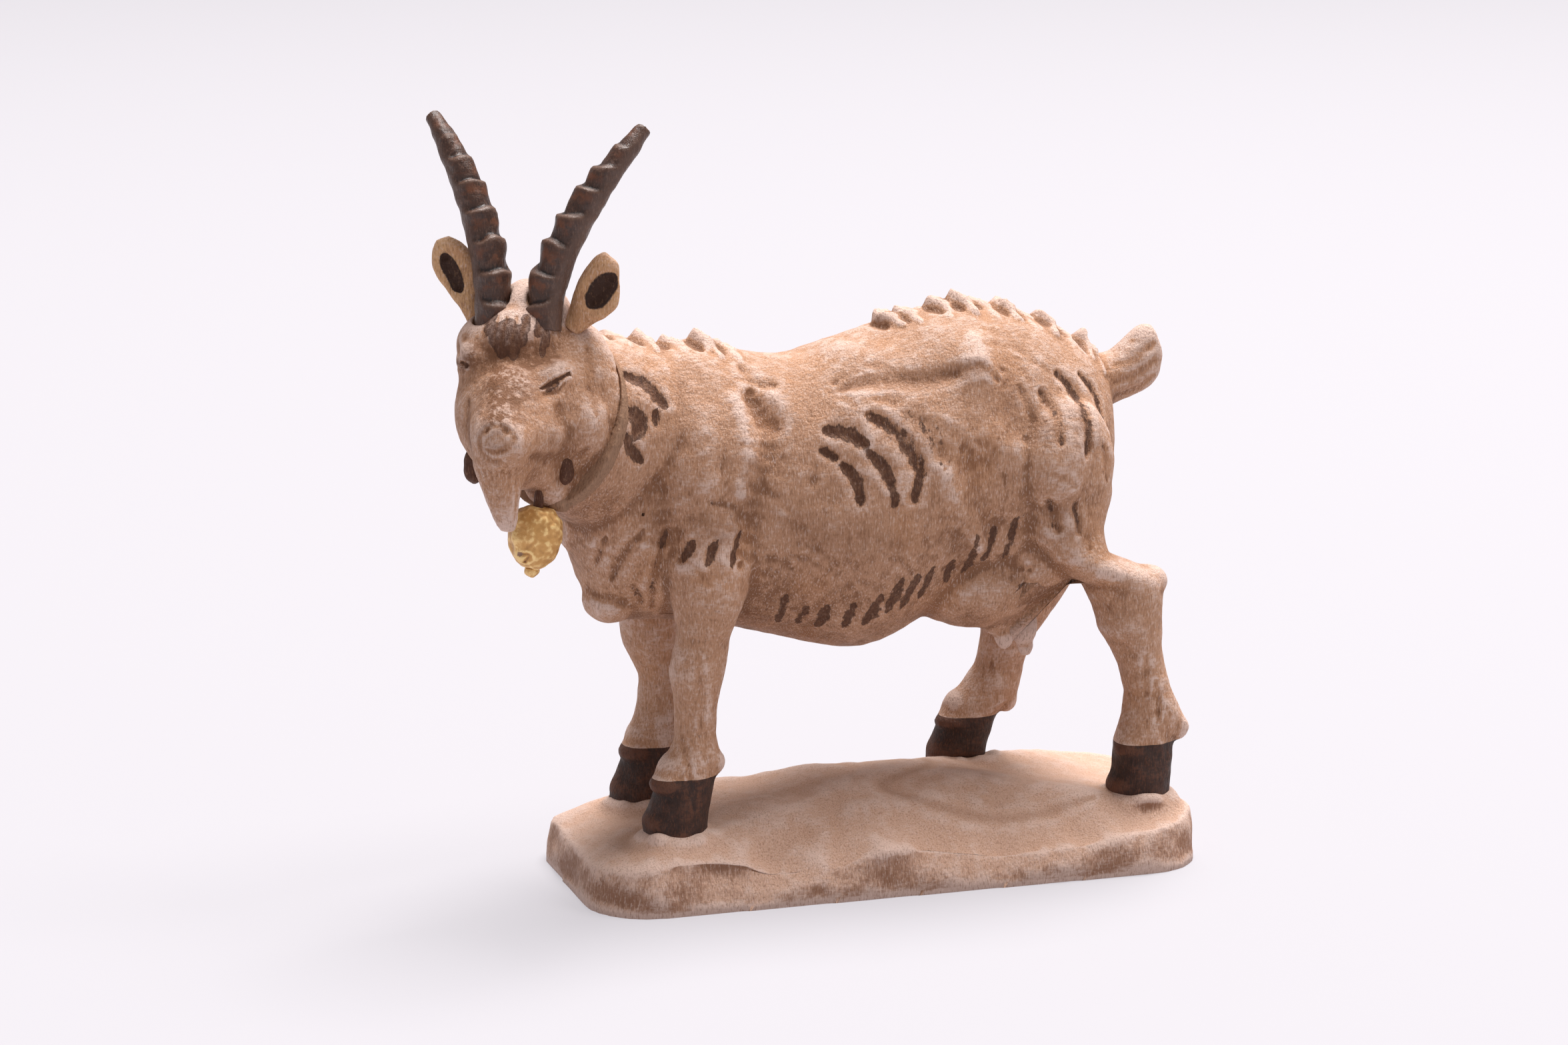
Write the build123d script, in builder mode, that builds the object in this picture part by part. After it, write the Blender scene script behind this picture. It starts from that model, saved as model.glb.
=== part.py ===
from build123d import *
import os
from math import cos, radians, sin

# A carved wooden goat standing on a plinth, in millimetres.
# The origin is the middle of the plinth's flat underside, +Z is up, the goat walks towards -X
# and its left flank faces -Y. The head is turned to the goat's left.

# Driving dimensions
plinth_length = 84.2
plinth_width = 37.0
plinth_corner = 9.0
plinth_skew = -2.5            # degrees that the plinth stands askew under the goat
plinth_draft = 5.0            # degrees, the side leans in towards the top
ground_crown = 12.3           # highest ground under the belly
ground_rim = 6.8              # lowest ground along the near edge
dowel_radius = 1.25           # legs, hooves, neck and tail
pin_radius = 0.6              # ears, wattles, beard and bell
horn_tenon_radius = 1.3
horn_tenon_length = 5.0
head_yaw = 30.0               # degrees short of square to the left flank that the face looks
eye_line = (-51.6, -10.0, 70.3)   # middle of the forehead, between the eyes
collar_centre = (-43.6, -6.4, 62.9)
collar_half_width = 7.9
collar_half_height = 10.6
strap_width = 1.9
strap_thickness = 0.55
bell_top = (-48.9, -12.2, 53.9)
bell_height = 8.0
bell_lean = 6.5               # degrees that the bell swings out of plumb

os.makedirs("parts", exist_ok=True)
finished = []

forward = Vector(-sin(radians(head_yaw)), -cos(radians(head_yaw)), 0)
sideways = Vector(cos(radians(head_yaw)), -sin(radians(head_yaw)), 0)
upwards = Vector(0, 0, 1)


def keep(piece, label):
    """Labels a finished piece, notes it and writes it to its own file."""
    piece.part.label = label
    export_step(piece.part, f"parts/{label}.step")
    finished.append(piece.part)


def on_head(side, ahead, up):
    """A point given from the middle of the forehead: to the goat's left, forwards and up."""
    return Vector(eye_line) + sideways * side + forward * ahead + upwards * up


def section(centre, normal, across, half_across, half_tall):
    """An elliptical slice, across its x direction and tall at right angles to that."""
    with BuildSketch(Plane(origin=centre, x_dir=across, z_dir=normal)) as slice_:
        Ellipse(half_across, half_tall)
    return slice_.sketch


def rod(start, end, radius):
    """A plain round peg between two points."""
    axis = Vector(end) - Vector(start)
    with BuildPart() as peg:
        with BuildSketch(Plane(origin=start, z_dir=axis)):
            Circle(radius)
        extrude(amount=axis.length)
    return peg


# Plinth: a long rounded slab with leaning sides under rolling ground
ground_line = [
    (-plinth_length / 2 - 2, 5.4), (-30, 8.6), (-20, 10.0), (-12, 10.8), (-4, 12.0),
    (4, ground_crown), (12, 11.4), (22, 10.2), (31, 8.7), (plinth_length / 2 + 2, 6.6),
]
across_line = [
    (-plinth_width / 2 - 3, ground_rim - 1), (-14, 7.9), (-8, 10.4), (0, ground_crown),
    (5, 11.5), (11, 9.2), (plinth_width / 2 + 3, ground_rim - 1),
]
slab_height = 14.0


def ground_cover(plane, line, depth):
    """The block below a rolling line, extruded along the plane's normal both ways."""
    with BuildPart() as cover:
        with BuildSketch(plane):
            with BuildLine():
                top = Spline(*line)
                Polyline(top @ 1, (line[-1][0], -1), (line[0][0], -1), top @ 0)
            make_face()
        extrude(amount=depth, both=True)
    return cover


along_cover = ground_cover(Plane.XZ, ground_line, plinth_width)
cross_cover = ground_cover(Plane.YZ, across_line, plinth_length)
with BuildPart() as plinth:
    with BuildSketch():
        RectangleRounded(plinth_length, plinth_width, plinth_corner, rotation=plinth_skew)
    extrude(amount=slab_height, taper=plinth_draft)
    add(along_cover.part, mode=Mode.INTERSECT)
    add(cross_cover.part, mode=Mode.INTERSECT)
ground = plinth.part

# Torso: slices from chest to rump, each (x, middle z, half width, half height)
torso_slices = [
    (-42.6, 51.8, 3.6, 5.8), (-40.2, 51.6, 6.4, 10.6), (-36.5, 52.6, 9.0, 16.2), (-30, 53.1, 11.2, 18.0),
    (-24, 52.7, 12.4, 18.3), (-16, 51.0, 12.7, 18.5), (-6, 50.3, 14.0, 20.5),
    (4, 52.5, 14.3, 20.6), (12, 54.3, 13.6, 20.0), (20, 53.6, 12.4, 18.9),
    (26.5, 54.4, 10.4, 15.3), (30.6, 55.8, 7.6, 11.2), (33.0, 56.8, 4.2, 6.2),
]
udder_centre = (14.6, -0.5, 36.4)
udder_radius = 5.6
teat_drop = 8.6               # from the middle of the udder to the teat's tip
teat_lean = (21.0, -2.0)      # where the teat points, in plan
with BuildPart() as torso_block:
    for x, middle, half_wide, half_tall in torso_slices:
        with BuildSketch(Plane(origin=(x, 0, middle), x_dir=(0, 1, 0), z_dir=(1, 0, 0))):
            Ellipse(half_wide, half_tall)
    loft()
    with Locations(udder_centre):
        Sphere(udder_radius)
    teat_axis = Vector(*teat_lean, udder_centre[2] - teat_drop) - Vector(udder_centre)
    with BuildSketch(Plane(origin=udder_centre, z_dir=teat_axis)):
        Circle(2.6)
    extrude(amount=teat_axis.length, taper=12)

# Legs, each slice (x, y, z, half length, half width), top first
front_slices = [
    (-24.5, -7.6, 52, 7.2, 5.0), (-25.2, -8.6, 45, 6.4, 4.8), (-25.5, -9, 39, 4.8, 4.3), (-26.6, -9, 34, 3.8, 3.6),
    (-27.3, -9, 30, 3.8, 3.6), (-27.5, -9, 25.5, 2.9, 2.9), (-27.6, -9, 22, 2.9, 2.9),
    (-27.6, -9, 19.4, 3.5, 3.2), (-28.5, -9, 16.6, 3.8, 3.6),
]
front_hoof = [(-28.5, -9, 16.6, 3.8, 3.6), (-29.8, -9, 12, 3.9, 3.9), (-30.7, -9, 6, 4.3, 4.1)]
front_right_slices = [
    (-24.8, 6.6, 52, 7.2, 5.0), (-26.0, 7.2, 45, 6.4, 4.8), (-27.0, 7.6, 39, 5.0, 4.3), (-28.3, 7.6, 34, 4.1, 3.6),
    (-28.2, 7.6, 30, 3.7, 3.6), (-27.0, 7.6, 25.5, 2.9, 2.9), (-27.0, 7.6, 22, 2.9, 2.9),
    (-27.3, 7.6, 19.4, 3.4, 3.2), (-27.7, 7.6, 16.6, 3.8, 3.6),
]
front_right_hoof = [(-27.7, 7.6, 16.6, 3.8, 3.6), (-29.2, 7.6, 12, 3.9, 3.9), (-30.2, 7.6, 6, 4.3, 4.1)]
rear_left_slices = [
    (22.0, -7.6, 56, 8.0, 4.6), (22.8, -8.6, 50, 7.6, 5.0), (22.9, -9.2, 45.2, 6.0, 4.9), (24.6, -9.8, 41.8, 4.8, 4.7),
    (29.2, -10.2, 39.3, 6.2, 4.5), (31.5, -10.2, 37.8, 5.5, 4.3), (32.2, -10.5, 35, 4.9, 4.0),
    (32.6, -10.5, 31.5, 4.4, 3.7), (33.7, -10.5, 28.5, 3.5, 3.4), (34.6, -10.5, 25.5, 3.3, 3.2),
    (35.3, -10.5, 22.5, 3.5, 3.2), (36.1, -10.5, 18.5, 4.6, 3.5), (34.8, -10.5, 15.9, 4.0, 3.6),
]
rear_left_hoof = [(34.8, -10.5, 15.9, 4.0, 3.6), (34.6, -10.5, 12, 4.1, 3.9), (34.4, -10.5, 5.5, 4.3, 4.1)]
rear_right_slices = [
    (22.0, 7.2, 56, 8.6, 4.6), (24.0, 8.2, 48, 8.8, 4.8), (26.5, 8.5, 40, 7.6, 4.4), (26.4, 8.5, 34, 6.2, 3.9),
    (24.4, 8.5, 30, 5.3, 3.6), (22.9, 8.5, 26.5, 3.8, 3.3), (21.8, 8.5, 23, 3.4, 3.2),
    (20.3, 8.5, 20.0, 4.3, 3.5), (19.2, 8.5, 18.2, 4.8, 3.5), (17.4, 8.5, 16.4, 3.9, 3.6),
]
rear_right_hoof = [(17.4, 8.5, 16.4, 3.9, 3.6), (15.9, 8.5, 12.5, 4.0, 3.8), (14.8, 8.5, 6.5, 4.3, 4.1)]
legs = {
    "front_left": (front_slices, front_hoof, (-27.5, -9.0)),
    "front_right": (front_right_slices, front_right_hoof, (-27.6, 7.6)),
    "rear_left": (rear_left_slices, rear_left_hoof, (34.8, -10.5)),
    "rear_right": (rear_right_slices, rear_right_hoof, (17.2, 8.5)),
}
shoulder_pegs = {       # lower and upper ends of the dowel that joins each leg to the torso
    "front_left": ((-26.8, -8.7, 32), (-24.5, -5.5, 46)),
    "front_right": ((-28.0, 7.5, 31), (-25.0, 4.8, 46)),
    "rear_left": ((31.5, -10.2, 33), (25.5, -5.5, 48)),
    "rear_right": ((24.4, 8.2, 31), (23.5, 4.6, 46)),
}
foot_peg_foot = 2.5           # how far above the underside each foot peg stops
foot_peg_top = 19.5

shoulder_rods = {name: rod(low, high, dowel_radius) for name, (low, high) in shoulder_pegs.items()}
foot_rods = {
    name: rod((x, y, foot_peg_foot), (x, y, foot_peg_top), dowel_radius)
    for name, (_, _, (x, y)) in legs.items()
}


def standing(slices):
    """A leg or hoof through level slices."""
    with BuildPart() as upright:
        for x, y, z, half_long, half_wide in slices:
            with BuildSketch(Plane.XY.offset(z)):
                with Locations((x, y)):
                    Ellipse(half_long, half_wide)
        loft(ruled=True)
    return upright


# Neck and head share the joint plane that the collar hides
nape_to_throat = Vector(-40.0, -3.8, 72.3) - Vector(-47.3, -9.0, 53.5)
neck_tall = nape_to_throat.normalized()
neck_heading = Vector(-0.75, -0.66, 0)
neck_normal = (neck_heading - neck_tall * neck_heading.dot(neck_tall)).normalized()
neck_across = neck_tall.cross(neck_normal).normalized()
collar_plane = Plane(origin=collar_centre, x_dir=neck_across, z_dir=neck_normal)
head_joint = collar_plane.offset(0.4)
neck_bend = Vector(-0.90, -0.42, 0.12)
neck_slices = [
    section((-29, -0.5, 57), (-1, -0.12, 0.05), (-0.12, 1, 0), 10.0, 13.2),
    section((-37, -2.8, 60.2), neck_bend, (-0.42, 0.9, 0), 8.8, 12.6),
    section(head_joint.origin, neck_normal, neck_across, collar_half_width, collar_half_height),
]
with BuildPart() as neck_block:
    add(neck_slices)
    loft()

# Head: from the joint plane over the skull and down the muzzle
level_side = sideways * -1
skull_tufts = [((0.9, -7.0, 5.6), 5.2), ((-3.4, -4.8, 2.6), 4.7)]   # behind the horns, over the right eye
head_slices = [
    section(head_joint.origin, neck_normal, neck_across, collar_half_width - 0.3, collar_half_height - 0.4),
    section(on_head(2.3, -3.6, -3.8), forward + upwards * 0.2, level_side, 8.9, 9.8),
    section(on_head(0.2, 0.8, -5.8), forward - upwards * 0.1, level_side, 7.4, 7.2),
    section(on_head(0.4, 4.6, -6.8), forward - upwards * 0.15, level_side, 5.1, 5.6),
    section(on_head(0.6, 7.8, -6.9), forward, level_side, 3.8, 4.0),
    section(on_head(0.7, 9.8, -6.9), forward, level_side, 3.0, 3.1),
]
with BuildPart() as head_block:
    add(head_slices)
    loft()
    for centre, radius in skull_tufts:
        with Locations(on_head(*centre)):
            Sphere(radius)

# Horns: ridged curves that sweep up, back and out, each on a round tenon
horn_points = {               # seat, two points on the way, and tip
    1: ((3.2, -3.8, 4.8), (4.0, -5.0, 11.2), (7.1, -6.6, 18.6), (14.6, -12.0, 29.6)),
    -1: ((-3.3, -3.8, 4.8), (-3.6, -5.0, 11.0), (-5.5, -6.6, 18.3), (-12.8, -12.0, 30.6)),
}
horn_radii = (2.5, 2.35, 1.9, 1.15)


def horn_line(side):
    """The horn's middle line, from its seat on the skull to its tip."""
    with BuildLine() as line:
        Spline(*[on_head(*point) for point in horn_points[side]])
    return line.line


def horn_tenon(side):
    """The round tongue under a horn, down into the skull."""
    base = on_head(*horn_points[side][0])
    foot = base - forward * 0.6 - upwards * horn_tenon_length
    return rod(foot, base + upwards * 0.5, horn_tenon_radius)


def horn(side):
    """One horn with its tenon."""
    line = horn_line(side)
    with BuildPart() as curve:
        for share, radius in zip((0, 0.4, 0.75, 1), horn_radii):
            with BuildSketch(Plane(origin=line @ share, z_dir=line % share)):
                Circle(radius)
        loft()
        add(horn_tenon(side).part)
    return curve


# Ears: flat leaves that stand out below the horns
ear_ends = {                  # root and tip
    1: ((6.3, -6.2, 5.0), (12.6, -6.4, 13.2)),
    -1: ((-5.9, -6.8, 5.4), (-10.3, -6.8, 15.8)),
}
ear_shares = [(0, 1.3, 1.2), (0.3, 2.2, 1.2), (0.65, 2.8, 1.1), (0.9, 1.9, 0.8), (1, 0.9, 0.45)]


def ear(side):
    """One ear through slices along its midrib."""
    root, tip = (on_head(*end) for end in ear_ends[side])
    midrib = tip - root
    across = midrib.cross(forward).normalized()
    with BuildPart() as leaf:
        for share, half_wide, half_thick in ear_shares:
            add(section(root + midrib * share, midrib, across, half_wide, half_thick))
        loft()
        add(rod(root + midrib * 0.2, root - midrib * 0.25, pin_radius).part)
    return leaf


# Beard, tail, wattles and bell
beard_slices = [
    section(on_head(0.2, 6.9, -9.4), -upwards, level_side, 3.6, 2.9),
    section(on_head(0.4, 6.9, -13.0), -upwards, level_side, 2.6, 2.2),
    section(on_head(0.8, 6.7, -16.4), -upwards, level_side, 1.7, 1.5),
    section(on_head(1.0, 6.4, -18.4), -upwards, level_side, 0.9, 0.8),
]
tail_slices = [
    section((31.0, 0, 62.8), (1, 0, 0.15), (0, 1, 0), 3.6, 4.2),
    section((35.3, 0, 63.6), (1, 0, 0.25), (0, 1, 0), 2.9, 3.6),
    section((38.7, 0, 65.9), (1, 0, 0.35), (0, 1, 0), 2.4, 3.9),
    section((40.6, 0, 67.8), (1, 0, 0.35), (0, 1, 0), 1.3, 2.4),
]
wattle_seats = {1: (6.5, -0.9, -9.2), -1: (-5.3, -1.4, -9.6)}
wattle_profile = [(0, 0.0), (0.8, 0.6), (1.2, 1.9), (1.2, 3.2), (0.8, 4.3), (0, 4.8)]
bell_profile = [
    (0, 0.0), (1.3, 0.1), (2.4, 0.7), (3.2, 2.1), (3.4, 3.9), (3.0, 5.8), (2.2, 7.1), (1.1, 7.85), (0, bell_height),
]
clapper_radius = 0.95


def turned(plane, profile):
    """A drop turned on a lathe about the plane's y axis, hanging down from its origin."""
    with BuildPart() as drop:
        with BuildSketch(plane):
            with BuildLine():
                side = Spline(*[(r, -down) for r, down in profile])
                Line(side @ 1, side @ 0)
            make_face()
        revolve(axis=Axis(plane.origin, plane.y_dir))
    return drop


with BuildPart() as tail_block:
    add(tail_slices)
    loft()
with BuildPart() as beard_block:
    add(beard_slices)
    loft()

tail_rod = rod((27.5, 0, 61.8), (37.5, 0, 64.4), dowel_radius)
neck_rod = rod(
    head_joint.origin - neck_normal * 4.5 - neck_tall * 1.5,
    head_joint.origin + neck_normal * 5 - neck_tall * 1.5,
    dowel_radius,
)

# Collar: a strap round the joint, its inside exactly the size of the neck there
with BuildPart() as collar:
    with BuildSketch(collar_plane.offset(-strap_width / 2)):
        Ellipse(collar_half_width + strap_thickness, collar_half_height + strap_thickness)
    extrude(amount=strap_width)
    add(neck_block.part, mode=Mode.SUBTRACT)
    add(head_block.part, mode=Mode.SUBTRACT)

bell_across = sideways - upwards * sin(radians(bell_lean))
bell_plane = Plane(origin=bell_top, x_dir=bell_across, z_dir=forward)
bell_up = bell_plane.y_dir
bell_body = turned(bell_plane, bell_profile)
clapper_centre = Vector(bell_top) - bell_up * (bell_height + clapper_radius * 0.35)
bell_pin_rod = rod(Vector(bell_top) - bell_up * 2.5, Vector(bell_top) + bell_up * 3.2, pin_radius)

# Finished pieces
with BuildPart() as plinth_cut:
    add(plinth.part)
    for peg in foot_rods.values():
        add(peg.part, mode=Mode.SUBTRACT)
keep(plinth_cut, "plinth")

with BuildPart() as torso:
    add(torso_block.part)
    for peg in (*shoulder_rods.values(), tail_rod):
        add(peg.part, mode=Mode.SUBTRACT)
keep(torso, "torso")

for name, (slices, hoof_slices, _) in legs.items():
    with BuildPart() as leg:
        add(standing(slices).part)
        add(torso_block.part, mode=Mode.SUBTRACT)
        add(shoulder_rods[name].part, mode=Mode.SUBTRACT)
        add(foot_rods[name].part, mode=Mode.SUBTRACT)
    keep(leg, f"leg_{name}")
    with BuildPart() as hoof:
        add(standing(hoof_slices).part)
        add(ground, mode=Mode.SUBTRACT)
        add(foot_rods[name].part, mode=Mode.SUBTRACT)
    keep(hoof, f"hoof_{name}")

with BuildPart() as tail:
    add(tail_block.part)
    add(torso_block.part, mode=Mode.SUBTRACT)
    add(tail_rod.part, mode=Mode.SUBTRACT)
keep(tail, "tail")

with BuildPart() as neck:
    add(neck_block.part)
    add(torso_block.part, mode=Mode.SUBTRACT)
    add(neck_rod.part, mode=Mode.SUBTRACT)
keep(neck, "neck")

horns = {name: horn(side) for name, side in (("left", 1), ("right", -1))}
ears = {name: ear(side) for name, side in (("left", 1), ("right", -1))}
wattles = {}
for name, side in (("left", 1), ("right", -1)):
    seat = Plane(origin=on_head(*wattle_seats[side]), x_dir=sideways, z_dir=forward)
    wattles[name] = turned(seat, wattle_profile)

with BuildPart() as head:
    add(head_block.part)
    add(neck_rod.part, mode=Mode.SUBTRACT)
    for piece in (*horns.values(), *ears.values()):
        add(piece.part, mode=Mode.SUBTRACT)
keep(head, "head")

with BuildPart() as beard:
    add(beard_block.part)
    add(head_block.part, mode=Mode.SUBTRACT)
keep(beard, "beard")

keep(collar, "collar")
for name in ("left", "right"):
    keep(horns[name], f"horn_{name}")
    with BuildPart() as ear_clear:
        add(ears[name].part)
        add(horns[name].part, mode=Mode.SUBTRACT)
    keep(ear_clear, f"ear_{name}")
    with BuildPart() as wattle:
        add(wattles[name].part)
        add(head_block.part, mode=Mode.SUBTRACT)
        add(neck_block.part, mode=Mode.SUBTRACT)
        add(collar.part, mode=Mode.SUBTRACT)
    keep(wattle, f"wattle_{name}")

with BuildPart() as clapper:
    with Locations(clapper_centre):
        Sphere(clapper_radius)
    add(bell_body.part, mode=Mode.SUBTRACT)
keep(clapper, "bell_clapper")

with BuildPart() as bell:
    add(bell_body.part)
    for block in (head_block, neck_block, torso_block, collar, beard_block, bell_pin_rod):
        add(block.part, mode=Mode.SUBTRACT)
keep(bell, "bell")
keep(bell_pin_rod, "bell_pin")

for label, pegs in (("leg_dowels", shoulder_rods), ("foot_dowels", foot_rods)):
    with BuildPart() as group:
        for peg in pegs.values():
            add(peg.part)
    keep(group, label)
keep(tail_rod, "tail_dowel")
keep(neck_rod, "neck_dowel")

whole = Compound(children=finished)
print(len(finished), "pieces,", whole.bounding_box())
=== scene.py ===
import math
import bpy
import bmesh
import numpy as np
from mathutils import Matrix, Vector, noise


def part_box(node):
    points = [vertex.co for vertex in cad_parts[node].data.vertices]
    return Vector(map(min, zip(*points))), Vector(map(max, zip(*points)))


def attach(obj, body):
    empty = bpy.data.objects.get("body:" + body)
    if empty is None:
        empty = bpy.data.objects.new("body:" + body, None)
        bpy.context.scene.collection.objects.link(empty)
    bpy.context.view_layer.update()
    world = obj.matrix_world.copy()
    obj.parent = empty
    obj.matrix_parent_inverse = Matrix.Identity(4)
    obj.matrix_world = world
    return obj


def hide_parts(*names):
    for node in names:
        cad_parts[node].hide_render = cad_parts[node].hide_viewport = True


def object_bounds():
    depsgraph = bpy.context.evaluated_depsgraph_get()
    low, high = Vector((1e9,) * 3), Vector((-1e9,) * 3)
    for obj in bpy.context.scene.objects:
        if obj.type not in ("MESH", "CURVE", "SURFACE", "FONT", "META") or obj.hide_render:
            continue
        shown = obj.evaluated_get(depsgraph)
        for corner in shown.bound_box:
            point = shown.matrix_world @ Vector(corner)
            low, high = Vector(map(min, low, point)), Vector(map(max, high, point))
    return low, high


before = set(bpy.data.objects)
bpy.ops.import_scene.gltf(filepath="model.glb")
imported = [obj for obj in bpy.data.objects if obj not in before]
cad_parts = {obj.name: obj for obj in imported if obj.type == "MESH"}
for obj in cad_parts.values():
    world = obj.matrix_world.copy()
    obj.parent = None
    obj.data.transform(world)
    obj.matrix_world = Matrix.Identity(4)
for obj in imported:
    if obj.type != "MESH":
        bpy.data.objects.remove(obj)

# A carved, stained wooden goat on its plinth. Sizes below are millimetres unless a note says otherwise.
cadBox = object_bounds()
mm = 0.001
chance = np.random.default_rng(11)

goat = {
    "voxel": 0.40,            # size of the finest cut that the body can hold
    "headTurn": 30.0,         # degrees, as the head is turned in the frame
    "browHeight": 0.605,      # where the middle of the forehead is, up the head node
    "browInset": (6.9, 10.34),   # and how far in from the node's low corner
}


def boxOf(node):
    return [np.array(corner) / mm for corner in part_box(node)]


headLow, headHigh = boxOf("head")
torsoLow, torsoHigh = boxOf("torso")
turn = math.radians(goat["headTurn"])
ahead = np.array((-math.sin(turn), -math.cos(turn), 0.0))
toLeft = np.array((math.cos(turn), -math.sin(turn), 0.0))
upward = np.array((0.0, 0.0, 1.0))
brow = np.array((headLow[0] + goat["browInset"][0], headLow[1] + goat["browInset"][1],
                 headLow[2] + goat["browHeight"] * (headHigh[2] - headLow[2])))


def deselectAll():
    if bpy.context.object and bpy.context.object.mode != "OBJECT":
        bpy.ops.object.mode_set(mode="OBJECT")
    bpy.ops.object.select_all(action="DESELECT")


def pick(*pieces):
    deselectAll()
    for piece in pieces:
        piece.select_set(True)
    bpy.context.view_layer.objects.active = pieces[-1]


def useModifier(piece, kind, **settings):
    pick(piece)
    modifier = piece.modifiers.new(kind.lower(), kind)
    for name, value in settings.items():
        setattr(modifier, name, value)
    bpy.ops.object.modifier_apply(modifier=modifier.name)


def blank(node):
    # a copy of a node's shape, merged into one skin, as the block to carve
    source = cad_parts[node]
    piece = bpy.data.objects.new("blank_" + node, source.data.copy())
    piece.data.transform(source.matrix_world)
    piece.data.materials.clear()
    bpy.context.scene.collection.objects.link(piece)
    pick(piece)
    bpy.ops.object.mode_set(mode="EDIT")
    bpy.ops.mesh.select_all(action="SELECT")
    bpy.ops.mesh.remove_doubles(threshold=0.005 * mm)
    bpy.ops.object.mode_set(mode="OBJECT")
    return piece


def lump(place, size, stretch=(1, 1, 1), lean=0.0):
    # a ball of wood that swells the block, lean in degrees about the side-to-side axis
    deselectAll()
    bpy.ops.mesh.primitive_ico_sphere_add(subdivisions=4, radius=size * mm, location=Vector(place) * mm)
    ball = bpy.context.object
    ball.scale = stretch
    ball.rotation_euler = (0, math.radians(lean), 0)
    bpy.ops.object.transform_apply(location=True, rotation=True, scale=True)
    return ball


def glue(pieces, name):
    pick(*pieces)
    bpy.ops.object.join()
    whole = bpy.context.object
    whole.name = name
    whole.data.name = name
    return whole


def carveBlock(piece, voxel, softness):
    # one closed skin of even squares, then the saw marks smoothed off
    useModifier(piece, "REMESH", mode="VOXEL", voxel_size=voxel * mm, use_smooth_shade=True)
    pick(piece)
    bpy.ops.object.mode_set(mode="EDIT")
    bpy.ops.mesh.select_all(action="SELECT")
    bpy.ops.mesh.separate(type="LOOSE")
    bpy.ops.object.mode_set(mode="OBJECT")
    parts = sorted(bpy.context.selected_objects, key=lambda part: len(part.data.vertices))
    whole = parts[-1]
    name = piece.name
    for part in parts[:-1]:
        bpy.data.objects.remove(part)
    whole.name = name
    whole.data.name = name
    useModifier(whole, "SMOOTH", factor=0.5, iterations=softness)
    whole.data.shade_smooth()
    return whole


def readPoints(piece):
    points = np.empty(len(piece.data.vertices) * 3)
    piece.data.vertices.foreach_get("co", points)
    return points.reshape(-1, 3) / mm


def readNormals(piece):
    normals = np.empty(len(piece.data.vertices) * 3)
    piece.data.vertices.foreach_get("normal", normals)
    return normals.reshape(-1, 3)


def writePoints(piece, points):
    piece.data.vertices.foreach_set("co", (points * mm).ravel())
    piece.data.update()


def writeMask(piece, name, values):
    mask = piece.data.attributes.get(name) or piece.data.attributes.new(name, "FLOAT", "POINT")
    mask.data.foreach_set("value", np.asarray(values, dtype=np.float32))


def curveThrough(stops, step):
    # a smooth line through the stops, as close points
    stops = np.asarray(stops, dtype=float)
    if len(stops) == 1:
        return stops, np.array([0.5])
    padded = np.vstack((2 * stops[0] - stops[1], stops, 2 * stops[-1] - stops[-2]))
    line = []
    for a, b, c, d in zip(padded, padded[1:], padded[2:], padded[3:]):
        count = max(2, int(np.linalg.norm(c - b) / step))
        for t in np.arange(count) / count:
            line.append(0.5 * (2 * b + (c - a) * t + (2 * a - 5 * b + 4 * c - d) * t * t
                               + (3 * b - a - 3 * c + d) * t ** 3))
    line.append(stops[-1])
    return np.array(line), np.linspace(0, 1, len(line))


class Chisel:
    # collects cuts, swellings and paint on one piece, then makes them all at once
    def __init__(self, piece):
        self.piece = piece
        self.points = readPoints(piece)
        self.normals = readNormals(piece)
        self.shift = np.zeros(len(self.points))
        self.paint = {}

    def nearness(self, stops, width, taper):
        if not len(stops):
            return np.zeros(0, dtype=int), np.zeros(0)
        line, share = curveThrough(stops, width * 0.35)
        radius = width * (1 - taper + taper * np.sqrt(np.clip(np.sin(math.pi * share), 0, 1)))
        reach = width * 2.2
        close = ((self.points > line.min(0) - reach) & (self.points < line.max(0) + reach)).all(1)
        close = np.nonzero(close)[0]
        if not len(close):
            return close, np.zeros(0)
        gap = np.linalg.norm(self.points[close][:, None] - line[None], axis=2) / np.maximum(radius, 0.05)
        return close, gap.min(1)

    def cut(self, stops, width, depth, lip=0.1, taper=0.7):
        close, gap = self.nearness(stops, width, taper)
        hollow = np.exp(-(gap * 1.35) ** 2)
        rim = np.exp(-((gap - 1.45) / 0.4) ** 2)
        self.shift[close] += depth * (lip * rim - hollow)

    def swell(self, stops, width, height, taper=0.3):
        close, gap = self.nearness(stops, width, taper)
        self.shift[close] += height * np.exp(-(gap * 1.3) ** 2)

    def pull(self, spot, radius, offset):
        # drags the wood near a spot, with a soft edge
        share = np.exp(-(np.linalg.norm(self.points - spot, axis=1) / radius) ** 2)
        self.points = self.points + share[:, None] * np.asarray(offset)

    def brush(self, name, stops, width, strength=1.0, taper=0.5):
        close, gap = self.nearness(stops, width, taper)
        layer = self.paint.setdefault(name, np.zeros(len(self.points)))
        layer[close] = np.maximum(layer[close], strength * np.clip(1.35 - gap, 0, 1))

    def ripple(self, size, height, seed):
        # soft, uneven facets from the gouge
        offset = Vector((seed * 7.3, seed * 1.7, seed * 3.1))
        self.shift += np.array([noise.noise(Vector(p) / size + offset) for p in self.points]) * height

    def finish(self):
        writePoints(self.piece, self.points + self.normals * self.shift[:, None])
        for name, layer in self.paint.items():
            writeMask(self.piece, name, layer)
        return self.piece


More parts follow.
